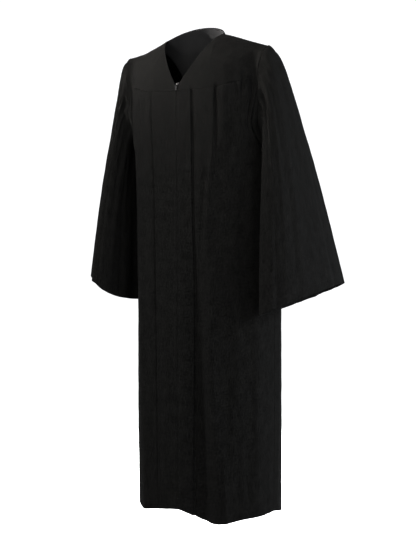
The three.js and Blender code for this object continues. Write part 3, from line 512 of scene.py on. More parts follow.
def panel_grid(face, cols, t_start, t_end, n, start_edge, end_edge, folded=True, shift=0.0, detail=True, flat_edges=False):
    """The outer grid of points of a piece of the body, [row][column], and each point's place round and down it."""
    top, low, sink, past, share, flat, pleat = cols.arrays()
    s0, s1 = top / QUARTER, (low if folded else top) / QUARTER
    ta, tb = t_start(clamp(s0, -1, 1)), t_end(clamp(s1, -1, 1))
    w = np.linspace(0, 1, 90)[:, None]
    path_t = ta + (tb - ta) * w
    path_s = s0 + (s1 - s0) * w
    P = base(face, clamp(path_s, -1, 1), path_t)
    L = np.concatenate([np.zeros((1, len(top))), np.cumsum(np.linalg.norm(np.diff(P, axis=0), axis=-1), axis=0)])
    pos, depth = rows_plan(start_edge, end_edge, n, L[-1])
    t = along(path_t, L, pos)
    down = clamp((t - ta) / np.maximum(1e-9, tb - ta), 0, 1)
    rnd = mix(top, low if folded else top, down)
    z0 = base(face, clamp(rnd / QUARTER, -1, 1), t)[..., 2]
    hem_down = clamp((-140 - z0) / (1225 - 140), 0, 1)
    extra = np.zeros_like(rnd)
    if folded:
        for j, p in enumerate(pleat):
            if p is None:
                continue
            step = pleat_step(p, hem_down[:, j])
            k = smooth(0.35, 1.3, step)
            rnd[:, j] += p["faces"] * mix(flat[j], past[j], k)
            if share[j] >= 0:
                own = (rnd[:, j] - mix(p["top"], p["low"], down[:, j])) * p["faces"]
                extra[:, j] = -share[j] * step * k
                # where the section flattens out, the plain step takes over
                plain = np.where(own > 0, step * clamp(1 - own / p["hollow"], 0, 1) ** 1.5, 0)
                extra[:, j] += plain * k
    s = clamp(rnd / QUARTER, -1, 1)
    P = base(face, s, t)
    N = across(face, s, t)
    off = relief(face, s, P[..., 2]) if folded else np.zeros_like(s)
    if detail:
        off = off + fine_relief(face, s, P[..., 2])
    off = off + extra - depth - sink[None] - shift
    return P + N * off[..., None], rnd, pos, L[-1]


def surface_normals(G, ring=False, flip=1):
    """Unit normals of a grid of points."""
    if ring:
        dc = np.roll(G, -1, 1) - np.roll(G, 1, 1)
    else:
        dc = np.empty_like(G)
        dc[:, 1:-1] = G[:, 2:] - G[:, :-2]
        dc[:, 0] = G[:, 1] - G[:, 0]
        dc[:, -1] = G[:, -1] - G[:, -2]
    dr = np.empty_like(G)
    dr[1:-1] = G[2:] - G[:-2]
    dr[0] = G[1] - G[0]
    dr[-1] = G[-1] - G[-2]
    return unit(np.cross(dc, dr) * flip)


def shell_mesh(name, outer, normals, thick, uv, ring=False, material=None, node=None):
    """A closed thin shell from a grid of outer points, its thickness laid in under them."""
    rows, cols = outer.shape[:2]
    inner = outer - normals * thick
    verts = np.concatenate([outer.reshape(-1, 3), inner.reshape(-1, 3)]) * 0.001
    N = rows * cols
    idx = np.arange(N).reshape(rows, cols)
    nxt = np.roll(idx, -1, 1) if ring else idx[:, 1:]
    cur = idx if ring else idx[:, :-1]
    quads = np.stack([cur[:-1], cur[1:], nxt[1:], nxt[:-1]], -1).reshape(-1, 4)
    inn = quads[:, ::-1] + N
    parts = [quads, inn]
    end = cur[0], nxt[0]
    parts.append(np.stack([end[0], end[1], end[1] + N, end[0] + N], -1))
    end = cur[-1], nxt[-1]
    parts.append(np.stack([end[1], end[0], end[0] + N, end[1] + N], -1))
    if not ring:
        a, b = idx[:-1, 0], idx[1:, 0]
        parts.append(np.stack([b, a, a + N, b + N], -1))
        a, b = idx[:-1, -1], idx[1:, -1]
        parts.append(np.stack([a, b, b + N, a + N], -1))
    faces = np.concatenate(parts)
    # the outer side faces out
    v = verts[faces]
    vol = np.einsum("ij,ij->i", v[:, 0], np.cross(v[:, 1], v[:, 2])).sum() + np.einsum("ij,ij->i", v[:, 0], np.cross(v[:, 2], v[:, 3])).sum()
    if vol < 0:
        faces = faces[:, ::-1]
    me = bpy.data.meshes.new(name)
    me.vertices.add(len(verts))
    me.vertices.foreach_set("co", verts.astype(np.float32).ravel())
    me.loops.add(faces.size)
    me.loops.foreach_set("vertex_index", faces.astype(np.int32).ravel())
    me.polygons.add(len(faces))
    me.polygons.foreach_set("loop_start", np.arange(0, faces.size, 4, dtype=np.int32))
    me.polygons.foreach_set("loop_total", np.full(len(faces), 4, np.int32))
    me.update(calc_edges=True)
    me.validate()
    me.polygons.foreach_set("use_smooth", np.ones(len(me.polygons), bool))
    layer = me.uv_layers.new(name="grain")
    both = np.concatenate([uv.reshape(-1, 2), uv.reshape(-1, 2)]) * 0.001
    loops = np.empty(len(me.loops), np.int32)
    me.loops.foreach_get("vertex_index", loops)
    coords = both[loops].reshape(-1, 4, 2)
    if ring:  # the loops over the join
        wide = uv[..., 0].max() * 0.001
        jump = coords[..., 0].max(1) - coords[..., 0].min(1) > wide / 2
        coords[jump, :, 0] = np.where(coords[jump, :, 0] < wide / 2, coords[jump, :, 0] + wide, coords[jump, :, 0])
    layer.data.foreach_set("uv", coords.astype(np.float32).ravel())
    ob = bpy.data.objects.new(name, me)
    bpy.context.scene.collection.objects.link(ob)
    if material:
        me.materials.append(material)
    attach(ob, "gown")
    if node:
        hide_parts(node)
    return ob


def flat_area(grid):
    """Area of a grid's surface, in square metres."""
    a = np.cross(grid[1:, 1:] - grid[:-1, :-1], grid[1:, :-1] - grid[:-1, 1:])
    return float(np.linalg.norm(a, axis=-1).sum() / 2 * 1e-6)


# ------------------------------------------------------------------ materials
def new_material(name):
    m = bpy.data.materials.new(name)
    m.use_nodes = True
    nt = m.node_tree
    bsdf = nt.nodes["Principled BSDF"]
    return m, nt, bsdf


def link(nt, a, b):
    nt.links.new(a, b)


def node(nt, kind, **props):
    n = nt.nodes.new(kind)
    for k, v in props.items():
        setattr(n, k, v)
    return n


def math_node(nt, op, a, b=None):
    n = node(nt, "ShaderNodeMath", operation=op)
    for i, v in enumerate((a, b)):
        if v is None:
            continue
        if isinstance(v, (int, float)):
            n.inputs[i].default_value = v
        else:
            link(nt, v, n.inputs[i])
    return n.outputs[0]


def weave_height(nt, uv, warp_mm, weft_mm):
    """A plain weave: warp and weft ribs that go over and under in turn."""
    sep = node(nt, "ShaderNodeSeparateXYZ")
    link(nt, uv, sep.inputs[0])
    u = math_node(nt, "MULTIPLY", sep.outputs[0], 1000 * math.pi / warp_mm)
    v = math_node(nt, "MULTIPLY", sep.outputs[1], 1000 * math.pi / weft_mm)
    su, sv = math_node(nt, "SINE", u), math_node(nt, "SINE", v)
    cu, cv = math_node(nt, "COSINE", u), math_node(nt, "COSINE", v)
    over = math_node(nt, "MULTIPLY", su, sv)
    ribs = math_node(nt, "MULTIPLY", math_node(nt, "ABSOLUTE", cu), math_node(nt, "ABSOLUTE", cv))
    return math_node(nt, "ADD", math_node(nt, "MULTIPLY", over, 0.5), math_node(nt, "MULTIPLY", ribs, -0.6))


def cloth_material(name, dark, light, rough, sheen, sheen_rough, sheen_tint, spec, weave, weave_bump, mottle_mm=26):
    m, nt, bsdf = new_material(name)
    uv = node(nt, "ShaderNodeUVMap", uv_map="grain").outputs[0]
    height = weave_height(nt, uv, *weave)
    # uneven yarns: long thin streaks both ways, and a soft mottle
    streak = node(nt, "ShaderNodeMapping")
    link(nt, uv, streak.inputs[0])
    streak.inputs["Scale"].default_value = (1400, 26, 1)
    yarn = node(nt, "ShaderNodeTexNoise")
    yarn.inputs["Scale"].default_value = 1
    yarn.inputs["Detail"].default_value = 2
    link(nt, streak.outputs[0], yarn.inputs["Vector"])
    streak2 = node(nt, "ShaderNodeMapping")
    link(nt, uv, streak2.inputs[0])
    streak2.inputs["Scale"].default_value = (30, 1300, 1)
    yarn2 = node(nt, "ShaderNodeTexNoise")
    yarn2.inputs["Scale"].default_value = 1
    yarn2.inputs["Detail"].default_value = 2
    link(nt, streak2.outputs[0], yarn2.inputs["Vector"])
    mottle = node(nt, "ShaderNodeTexNoise")
    mottle.inputs["Scale"].default_value = 1000 / mottle_mm
    mottle.inputs["Detail"].default_value = 4
    mottle.inputs["Roughness"].default_value = 0.62
    link(nt, uv, mottle.inputs["Vector"])
    tone = math_node(nt, "ADD", math_node(nt, "MULTIPLY", yarn.outputs["Fac"], 0.2), math_node(nt, "MULTIPLY", yarn2.outputs["Fac"], 0.15))
    slub = node(nt, "ShaderNodeTexNoise")
    slub.inputs["Scale"].default_value = 260
    slub.inputs["Detail"].default_value = 3
    slub.inputs["Roughness"].default_value = 0.7
    link(nt, uv, slub.inputs["Vector"])
    tone = math_node(nt, "ADD", tone, math_node(nt, "MULTIPLY", mottle.outputs["Fac"], 0.15))
    tone = math_node(nt, "ADD", tone, math_node(nt, "MULTIPLY", slub.outputs["Fac"], 0.5))
    ramp = node(nt, "ShaderNodeValToRGB")
    ramp.color_ramp.elements[0].position, ramp.color_ramp.elements[0].color = 0.40, (*dark, 1)
    ramp.color_ramp.elements[1].position, ramp.color_ramp.elements[1].color = 0.60, (*light, 1)
    link(nt, tone, ramp.inputs[0])
    link(nt, ramp.outputs[0], bsdf.inputs["Base Color"])
    rr = node(nt, "ShaderNodeMapRange")
    rr.inputs["To Min"].default_value, rr.inputs["To Max"].default_value = rough - 0.05, rough + 0.06
    link(nt, mottle.outputs["Fac"], rr.inputs["Value"])
    link(nt, rr.outputs[0], bsdf.inputs["Roughness"])
    bump = node(nt, "ShaderNodeBump")
    bump.inputs["Strength"].default_value = weave_bump
    bump.inputs["Distance"].default_value = 0.00008
    link(nt, height, bump.inputs["Height"])
    bump2 = node(nt, "ShaderNodeBump")
    bump2.inputs["Strength"].default_value = 0.35
    bump2.inputs["Distance"].default_value = 0.0006
    link(nt, mottle.outputs["Fac"], bump2.inputs["Height"])
    link(nt, bump.outputs[0], bump2.inputs["Normal"])
    link(nt, bump2.outputs[0], bsdf.inputs["Normal"])
    bsdf.inputs["Specular IOR Level"].default_value = spec
    bsdf.inputs["Sheen Weight"].default_value = sheen
    bsdf.inputs["Sheen Roughness"].default_value = sheen_rough
    bsdf.inputs["Sheen Tint"].default_value = (*sheen_tint, 1)
    return m


def plain_material(name, dark, light, rough, metallic, spec, scale, bump_mm, aniso=None):
    m, nt, bsdf = new_material(name)
    tex = node(nt, "ShaderNodeTexCoord")
    mapping = node(nt, "ShaderNodeMapping")
    link(nt, tex.outputs["Object"], mapping.inputs[0])
    mapping.inputs["Scale"].default_value = scale
    noise = node(nt, "ShaderNodeTexNoise")
    noise.inputs["Scale"].default_value = 1
    noise.inputs["Detail"].default_value = 3
    link(nt, mapping.outputs[0], noise.inputs["Vector"])
    ramp = node(nt, "ShaderNodeValToRGB")
    ramp.color_ramp.elements[0].position, ramp.color_ramp.elements[0].color = 0.35, (*dark, 1)
    ramp.color_ramp.elements[1].position, ramp.color_ramp.elements[1].color = 0.68, (*light, 1)
    link(nt, noise.outputs["Fac"], ramp.inputs[0])
    link(nt, ramp.outputs[0], bsdf.inputs["Base Color"])
    rr = node(nt, "ShaderNodeMapRange")
    rr.inputs["To Min"].default_value, rr.inputs["To Max"].default_value = rough - 0.07, rough + 0.09
    link(nt, noise.outputs["Fac"], rr.inputs["Value"])
    link(nt, rr.outputs[0], bsdf.inputs["Roughness"])
    bump = node(nt, "ShaderNodeBump")
    bump.inputs["Strength"].default_value = 0.5
    bump.inputs["Distance"].default_value = bump_mm * 0.001
    link(nt, noise.outputs["Fac"], bump.inputs["Height"])
    link(nt, bump.outputs[0], bsdf.inputs["Normal"])
    bsdf.inputs["Metallic"].default_value = metallic
    bsdf.inputs["Specular IOR Level"].default_value = spec
    return m


def tape_material():
    """A woven tape, its ribs taken from the piece's own place."""
    m, nt, bsdf = new_material("zip_tape")
    tex = node(nt, "ShaderNodeTexCoord")
    sep = node(nt, "ShaderNodeSeparateXYZ")
    link(nt, tex.outputs["Object"], sep.inputs[0])
    flat = node(nt, "ShaderNodeCombineXYZ")
    link(nt, sep.outputs[0], flat.inputs[0])
    link(nt, sep.outputs[2], flat.inputs[1])
    height = weave_height(nt, flat.outputs[0], 1.1, 0.7)
    noise = node(nt, "ShaderNodeTexNoise")
    noise.inputs["Scale"].default_value = 420
    noise.inputs["Detail"].default_value = 3
    link(nt, tex.outputs["Object"], noise.inputs["Vector"])
    ramp = node(nt, "ShaderNodeValToRGB")
    ramp.color_ramp.elements[0].position, ramp.color_ramp.elements[0].color = 0.35, (0.010, 0.010, 0.011, 1)
    ramp.color_ramp.elements[1].position, ramp.color_ramp.elements[1].color = 0.68, (0.018, 0.018, 0.019, 1)
    link(nt, noise.outputs["Fac"], ramp.inputs[0])
    link(nt, ramp.outputs[0], bsdf.inputs["Base Color"])
    bump = node(nt, "ShaderNodeBump")
    bump.inputs["Strength"].default_value = 0.8
    bump.inputs["Distance"].default_value = 0.0001
    link(nt, height, bump.inputs["Height"])
    link(nt, bump.outputs[0], bsdf.inputs["Normal"])
    bsdf.inputs["Roughness"].default_value = 0.85
    bsdf.inputs["Specular IOR Level"].default_value = 0.2
    bsdf.inputs["Sheen Weight"].default_value = 0.08
    return m


GOWN = cloth_material("gown_cloth", (0.0003, 0.0003, 0.00028), (0.0034, 0.00335, 0.0032), 0.9, 0.0015, 0.5, (0.75, 0.76, 0.8), 0.0085, (0.55, 0.5), 0.5)
FACING = cloth_material("neck_facing", (0.0058, 0.0058, 0.006), (0.0098, 0.0098, 0.01), 0.5, 0.012, 0.4, (0.8, 0.8, 0.85), 0.17, (0.32, 0.4), 0.25, 40)
TAPE = tape_material()
THREAD = plain_material("thread", (0.001, 0.001, 0.001), (0.0036, 0.0036, 0.0036), 0.7, 0, 0.08, (1500, 1500, 1500), 0.05)
COIL = plain_material("zip_plastic", (0.014, 0.014, 0.015), (0.022, 0.022, 0.024), 0.42, 0, 0.5, (900, 900, 900), 0.03)
SLIDER_METAL = plain_material("slider_metal", (0.0025, 0.0025, 0.0025), (0.006, 0.006, 0.006), 0.5, 0.1, 0.12, (700, 700, 700), 0.02)
PULL_METAL = plain_material("pull_metal", (0.004, 0.004, 0.0041), (0.007, 0.007, 0.0072), 0.55, 0.5, 0.15, (260, 1900, 1900), 0.02)


# ------------------------------------------------------------------ the pieces of the body
STEP = 2.6
GRIDS = {}


def uv_of(rnd, pos):
    return np.stack([rnd + 400, 1400 - pos], -1)


def body_piece(name, node_name, face, cols, t_start, t_end, n, start_edge, end_edge, folded=True, **more):
    grid, rnd, pos, lengths = panel_grid(face, cols, t_start, t_end, n, start_edge, end_edge, folded, **more)
    normals = surface_normals(grid, flip=face)
    want = across(face, clamp(rnd / QUARTER, -1, 1), 0.5 * (t_start(clamp(rnd[0] / QUARTER, -1, 1)) + t_end(clamp(rnd[0] / QUARTER, -1, 1)))[None] + 0 * rnd)
    if (normals * want).sum() < 0:
        normals = -normals
    ob = shell_mesh(name, grid, normals, THICK, uv_of(rnd, pos), material=GOWN, node=node_name)
    GRIDS[name] = (grid, normals, rnd, pos, lengths)
    return ob


zero = lambda s: 0 * s
two = lambda s: 0 * s + 2


def yoke_start_edges(cols):
    """The V and the nape are turned edges, the shoulder a sewn one."""
    top = cols.arrays()[0]
    out = []
    for r in top:
        k = float(smooth(NECK_ROUND - 1.0, NECK_ROUND + 1.0, abs(r)))
        out.append([tuple(mix(np.array(a), np.array(b), k)) for a, b in zip(TURNED, SEWN)])
    return out


for side in ("left", "right"):
    start, end = ((CLOSURE, (QUARTER, QUARTER)) if side == "left" else ((-QUARTER, -QUARTER), CLOSURE))
    # the turned edges of the closure nearly touch, and the sewn ones meet
    at_start, at_end = (0.02, 0.0) if side == "left" else (0.0, 0.02)
    start = (start[0] + at_start, start[1] + at_start)
    end = (end[0] - at_end, end[1] - at_end)
    edges = (TURNED, SEWN) if side == "left" else (SEWN, TURNED)
    cols = columns(FRONT_PLEATS, start, end, *edges, STEP)
    body_piece(f"front_{side}_cloth", f"front_{side}", -1, cols, yoke_line_front, two, 210, SEWN, HEM)
    plain = columns([], start, end, *edges, 2.3)
    # the yoke takes plain columns, without pleats
    body_piece(f"yoke_front_{side}_cloth", f"yoke_front_{side}", -1, plain, neck_start, yoke_line_front, 48,
                                              yoke_start_edges(plain), SEWN, folded=False)
side_edges = ((-QUARTER,) * 2, (QUARTER,) * 2)
cols = columns(BACK_PLEATS, *side_edges, SEWN, SEWN, STEP * 1.3)
body_piece("back_cloth", "back", 1, cols, yoke_line_back, two, 165, SEWN, HEM)
plain = columns([], *side_edges, SEWN, SEWN, STEP * 1.4)
body_piece("yoke_back_cloth", "yoke_back", 1, plain, zero, yoke_line_back, 40, yoke_start_edges(plain), SEWN, folded=False)

# the smooth facing inside the nape
facing_cols = Columns()
for r in np.linspace(-FACING_HALF, FACING_HALF, 70):
    facing_cols.add(r, r)
NARROW = [(1.6, 0.55), (1.62, 0.3), (1.8, 0.1), (2.4, 0.0), (4, 0.0)]
grid, rnd, pos, lengths = panel_grid(1, facing_cols, zero, yoke_line_back, 40, NARROW, [(1, 0), (3, 0), (6, 0)], folded=False, shift=CLOTH + 0.45, detail=False)
normals = surface_normals(grid)
if (normals * across(1, clamp(rnd / QUARTER, -1, 1), 0.5 + 0 * rnd)).sum() < 0:
    normals = -normals
shell_mesh("back_neck_facing_cloth", grid, normals, 0.5, uv_of(rnd, pos), material=FACING, node="back_neck_facing")
GRIDS["facing"] = (grid, normals, rnd, pos, lengths)


# ------------------------------------------------------------------ sleeves
GATHERS = table("at high wide start peak end", [
    (92, 0.99, 3.9, 0, 0.05, 0.26), (84, -1.24, 3.9, 0, 0.05, 0.4), (70, 1.12, 4.1, 0, 0.05, 0.3), (50, -1.05, 3.9, 0, 0.05, 0.24),
    (46, 0.99, 3.9, 0, 0.05, 0.2), (31, -1.12, 4.1, 0, 0.04, 0.22), (27, 0.93, 3.7, 0, 0.05, 0.24), (11, -1.05, 3.9, 0, 0.04, 0.2),
    (5, 0.87, 3.7, 0, 0.05, 0.22), (351, -1.05, 3.9, 0, 0.04, 0.18), (346, 0.93, 3.7, 0, 0.05, 0.2), (332, -1.12, 3.9, 0, 0.04, 0.2),
    (328, 0.87, 3.9, 0, 0.05, 0.24), (313, -1.05, 3.9, 0, 0.05, 0.22), (309, 1.05, 3.9, 0, 0.05, 0.28), (294, -1.12, 4.1, 0, 0.05, 0.3),
    (276, 1.05, 4.1, 0, 0.05, 0.36), (268, -0.99, 3.9, 0, 0.05, 0.26),
])
LONG = {
    "left": table("at high wide start peak end", [
        (98, -3.4, 5.0, 0.02, 0.2, 0.85), (118, -4.0, 6.5, 0.05, 0.35, 1.1), (83, -5.6, 4.2, 0.03, 0.15, 0.44),
        (92, 2.4, 4.0, 0.03, 0.15, 0.5), (75, 1.8, 9, 0.2, 0.8, 1.6), (58, -2.2, 12, 0.25, 0.85, 1.7),
        (20, -2.4, 12, 0.3, 0.9, 1.8), (0, 2.4, 13, 0.3, 0.9, 1.8), (300, 2.2, 12, 0.25, 0.9, 1.8), (275, -2.6, 12, 0.2, 0.8, 1.8),
        (250, 2.0, 12, 0.3, 0.9, 1.8), (225, -2.0, 12, 0.3, 0.9, 1.8),
    ]),
    "right": table("at high wide start peak end", [
        (96, -3.6, 5.5, 0.02, 0.18, 0.9), (116, -4.0, 6.0, 0.05, 0.32, 1.1), (82, 2.4, 7, 0.05, 0.4, 1.2), (62, -2.8, 9, 0.12, 0.5, 1.5),
        (36, 2.0, 12, 0.25, 0.85, 1.7), (14, -2.2, 12, 0.3, 0.9, 1.8), (345, 2.0, 13, 0.3, 0.9, 1.8), (298, 2.2, 12, 0.25, 0.9, 1.8),
        (272, -2.6, 12, 0.2, 0.8, 1.8), (248, 2.0, 12, 0.3, 0.9, 1.8),
    ]),
}
SLEEVE_WAVES = [(0.55, 31, 2.1, 0.2), (0.45, 23, -1.6, 2.3), (0.3, 17, 1.2, 4.1), (0.2, 11, -0.9, 1.0)]


def body_side(y, z, sign):
    zz = clamp(z, -1250, ARMPIT_Z)
    dy = y - body["mid_y"](zz)
    deep = np.where(dy < 0, body["front_depth"](zz), body["back_depth"](zz))
    k = np.abs(dy) / deep
    p = body["square"](zz)
    out = np.maximum(0, 1 - np.minimum(k, 1) ** p) ** (1 / p)
    s = sign * np.arcsin(np.minimum(1, out)) / (np.pi / 2)
    stand = np.where(dy < 0, relief(-1, s, zz) + fine_relief(-1, s, zz), relief(1, s, zz) + fine_relief(1, s, zz))
    side = sign * body["mid_x"](zz) + body["half_width"](zz) * out + 5 + np.maximum(0, stand)
    return np.where(k >= 1, -1e9, side)


def armhole_edge(sign):
    """The armhole edge: points, the direction away from the body and the wall's direction, by angle round the sleeve."""
    out = []
    for face in (-1, 1):
        t = np.linspace(0, 1 - 1e-7, 400)
        P = base(face, sign, t)
        A = P - base(face, sign * 0.97, t)
        A[:, 2] = 0
        N = across(face, np.full_like(t, sign), t)
        L = np.concatenate([[0], np.cumsum(np.linalg.norm(np.diff(P, axis=0), axis=1))])
        out.append((180 * L / L[-1], P, unit(A), N))
    (a0, p0, w0, n0), (a1, p1, w1, n1) = out
    ang = np.concatenate([a0, (360 - a1)[::-1][1:]])
    join = lambda u, v: np.concatenate([u, v[::-1][1:]])
    P, A, N = join(p0, p1), join(w0, w1), join(n0, n1)

    def at(angle):
        angle = np.mod(angle, 360)
        pick = lambda V: np.stack([np.interp(angle, ang, V[:, i]) for i in range(3)], -1)
        return pick(P), unit(pick(A)), unit(pick(N))
    return at


def sleeve_point(sign, q, edge, angle, v):
    outer, away, _ = edge(angle)
    a = np.radians(angle)
    cos, sin = np.cos(a), np.sin(a)
    under = (1 - cos) / 2
    low = smooth(125, 165, 180 - np.abs(np.mod(angle, 360) - 180))
    start = outer + away * (SEAM * (1.4 - 0.6 * low))[..., None]
    start[..., 2] += 2 * SEAM * low
    soft = lambda c, p: np.sign(c) * np.abs(c) ** (2 / p)
    kx = q["cuff_x"] + np.where(cos > 0, q["out"], q["into"]) * soft(cos, 2.2)
    ky = q["cuff_y"] - q["deep"] * soft(sin, 2.2)
    end = np.stack([sign * kx, ky, q["cuff_z"] + np.where(cos > 0, q["rise_out"], q["rise_in"]) * (kx - q["cuff_x"]) + q["rise_back"] * (ky - q["cuff_y"])], -1)
    ring = np.stack([sign * (q["top_x"] + q["top_half"] * cos), q["top_y"] - q["top_deep"] * sin, np.full_like(cos, q["top_z"])], -1)
    c1 = start + np.stack([sign * mix(q["puff"], 16, under), 0 * cos, mix(5, 6, under)], -1)
    c2 = end + (ring - end) * mix(0.74, 0.34, under)[..., None]
    v = np.asarray(v)[..., None]
    w = 1 - v
    return start * w ** 3 + c1 * 3 * w * w * v + c2 * 3 * w * v * v + end * v ** 3


def sleeve_relief(folds, angle, v):
    off = np.zeros_like(angle + v)
    for f in folds:
        d = np.mod(angle - f["at"] + 540, 360) - 180
        k = np.where(v < f["peak"], smooth(f["start"], f["peak"], v), 1 - smooth(f["peak"], f["end"], v))
        off += np.where((v > f["start"]) & (v < f["end"]), f["high"] * k * bell(d, f["wide"]), 0)
    return off


def sleeve_piece(side, sign):
    q = SLEEVES[side]
    edge = armhole_edge(sign)
    # finer steps round the cap than at the cuff's plain sides
    dense = np.linspace(0, 360, 721)
    weight = 1 + 0.9 * np.clip(np.cos(np.radians(dense)), -0.2, 1)
    cum = np.concatenate([[0], np.cumsum((weight[1:] + weight[:-1]) / 2)])
    angles = np.interp(np.linspace(0, cum[-1], 229)[:-1], cum, dense)
    # distance along each column
    vv = np.linspace(0, 1, 80)
    A, V = np.meshgrid(angles, vv)
    P = sleeve_point(sign, q, edge, A, V)
    L = np.concatenate([np.zeros((1, len(angles))), np.cumsum(np.linalg.norm(np.diff(P, axis=0), axis=-1), axis=0)])
    n = 120
    pos, depth = rows_plan(SEWN, HEM, n, L[-1])
    # rows are closer near the cap
    first, last = pos[len(SEWN) - 1], pos[len(SEWN) + n]
    w = np.linspace(0, 1, n + 2)[1:-1]
    w = w * 0.62 + 0.38 * w ** 2
    pos[len(SEWN):len(SEWN) + n] = first[None] + (last - first)[None] * w[:, None]
    v = along(V, L, pos)
    A = np.repeat(angles[None], len(v), 0)
    P = sleeve_point(sign, q, edge, A, v)
    da = sleeve_point(sign, q, edge, A + 1.5, v) - sleeve_point(sign, q, edge, A - 1.5, v)
    v0, v1 = np.maximum(0, v - 0.006), np.minimum(1, v + 0.006)
    dv = sleeve_point(sign, q, edge, A, v1) - sleeve_point(sign, q, edge, A, v0)
    N = unit(np.cross(da, dv) * sign)
    _, _, wall = edge(A)
    near = (1 - smooth(0, 0.03, v)) * (1 - smooth(150, 176, 180 - np.abs(A - 180)))
    N = unit(N * (1 - near)[..., None] + wall * near[..., None])
    off = (sleeve_relief(SLEEVE_FOLDS, A, v) * smooth(0, 0.14, v)
           + sleeve_relief(GATHERS, A, v) * smooth(0, 0.02, v)
           + sleeve_relief(LONG[side], A, v) * smooth(0, 0.1, v)
           + waves(A, v, SLEEVE_WAVES) * mix(0.5, 2.2, v) * smooth(0, 0.1, v)
           + waves(A * 2.6, pos, CREPE) * 0.8 * smooth(0, 0.05, v))
    P = P + N * off[..., None]
    clear = body_side(P[..., 1], P[..., 2], sign)
    out = sign * P[..., 0]
    push = (P[..., 2] < ARMPIT_Z + 45) & (out < clear)
    P[..., 0] = np.where(push, sign * mix(out, clear, smooth(0, 0.1, v)), P[..., 0])
    # the seam sinks towards the body and the hem turns in under itself
    G = P - N * depth[..., None]
    normals = surface_normals(G, ring=True)
    if (normals * N).sum() < 0:
        normals = -normals
    girth = np.concatenate([[0], np.cumsum(np.linalg.norm(np.diff(G[-len(HEM)], axis=0), axis=1))])
    uv = np.stack([np.repeat(girth[None], len(v), 0), 1400 - pos], -1)
    ob = shell_mesh(f"sleeve_{side}_cloth", G, normals, THICK, uv, ring=True, material=GOWN, node=f"sleeve_{side}")
    GRIDS[f"sleeve_{side}_cloth"] = (G, normals, A, pos, L[-1])
    return ob


sleeve_piece("left", 1)
sleeve_piece("right", -1)


# ------------------------------------------------------------------ the zip's coils
def tube_mesh(name, rings, closed, material, node=None):
    """Tubes from [tube][point][corner] points, capped at both ends."""
    me = bpy.data.meshes.new(name)
    tubes, m, k = rings.shape[:3]
    verts = rings.reshape(-1, 3) * 0.001
    idx = np.arange(tubes * m * k).reshape(tubes, m, k)
    a, b = idx[:, :-1], idx[:, 1:]
    quads = np.stack([a, np.roll(a, -1, 2), np.roll(b, -1, 2), b], -1).reshape(-1, 4)
    sizes = np.full(len(quads), 4, np.int32)
    flat = quads.ravel()
    if closed:
        flat = np.concatenate([flat, idx[:, 0, ::-1].ravel(), idx[:, -1].ravel()])
        sizes = np.concatenate([sizes, np.full(2 * tubes, k, np.int32)])
    me.vertices.add(len(verts))
    me.vertices.foreach_set("co", verts.astype(np.float32).ravel())
    me.loops.add(len(flat))
    me.loops.foreach_set("vertex_index", flat.astype(np.int32))
    me.polygons.add(len(sizes))
    me.polygons.foreach_set("loop_start", np.concatenate([[0], np.cumsum(sizes)[:-1]]).astype(np.int32))
    me.polygons.foreach_set("loop_total", sizes)
    me.update(calc_edges=True)
    me.validate()
    me.polygons.foreach_set("use_smooth", np.ones(len(me.polygons), bool))
    me.materials.append(material)
    ob = bpy.data.objects.new(name, me)
    bpy.context.scene.collection.objects.link(ob)
    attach(ob, "gown")
    if node:
        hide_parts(node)
    return ob


def front_at(x, z):
    """The front's plain y at a place on it."""
    x, z = np.broadcast_arrays(np.asarray(x, float), np.asarray(z, float))
    a, b = np.full(x.shape, -0.3), np.full(x.shape, 0.3)
    for _ in range(26):
        m = (a + b) / 2
        P = base(-1, m, reach_height(-1, m, z))
        right = P[..., 0] < x
        a, b = np.where(right, m, a), np.where(right, b, m)
    return P[..., 1]


def coil(x0, x1, phase, z_top, z_low, pitch=1.5, wire=0.56):
    """One coil of the zip: a flattened helix of plastic wire."""
    per = 6
    turns = int((z_top - z_low - 2) / pitch)
    a = np.arange(turns * per + 1) / per * 2 * np.pi
    z = z_top - 1 - a / (2 * np.pi) * pitch - phase * pitch
    level = np.linspace(z_top, z_low, 120)
    y_mid = np.interp(-z, -level, front_at(0.5 * (x0 + x1), level)) + 3.25
    rx, ry = (x1 - x0 - wire) / 2, (1.5 - wire) / 2
    sharp = lambda c: np.sign(c) * np.abs(c) ** 0.8
    path = np.stack([0.5 * (x0 + x1) + rx * sharp(np.cos(a)), y_mid + ry * sharp(np.sin(a)), z], -1)
    tan = unit(np.gradient(path, axis=0))
    out = np.stack([np.cos(a), np.sin(a), 0 * a], -1)
    side = unit(np.cross(tan, out))
    out = unit(np.cross(side, tan))
    corner = np.arange(4) / 4 * 2 * np.pi + np.pi / 4
    ring = path[:, None] + wire / 2 * (out[:, None] * np.cos(corner)[None, :, None] + side[:, None] * np.sin(corner)[None, :, None])
    return ring


zip_top, zip_low = -131.6, -131 - ZIP_LENGTH - 2
left_coil = coil(-3.0, 0.05, 0.0, zip_top, zip_low)
right_coil = coil(-4.45, -1.4, 0.5, zip_top, zip_low)
same = min(len(left_coil), len(right_coil))
tube_mesh("zip_coils", np.stack([left_coil[:same], right_coil[:same]]), True, COIL, "zip_chain")


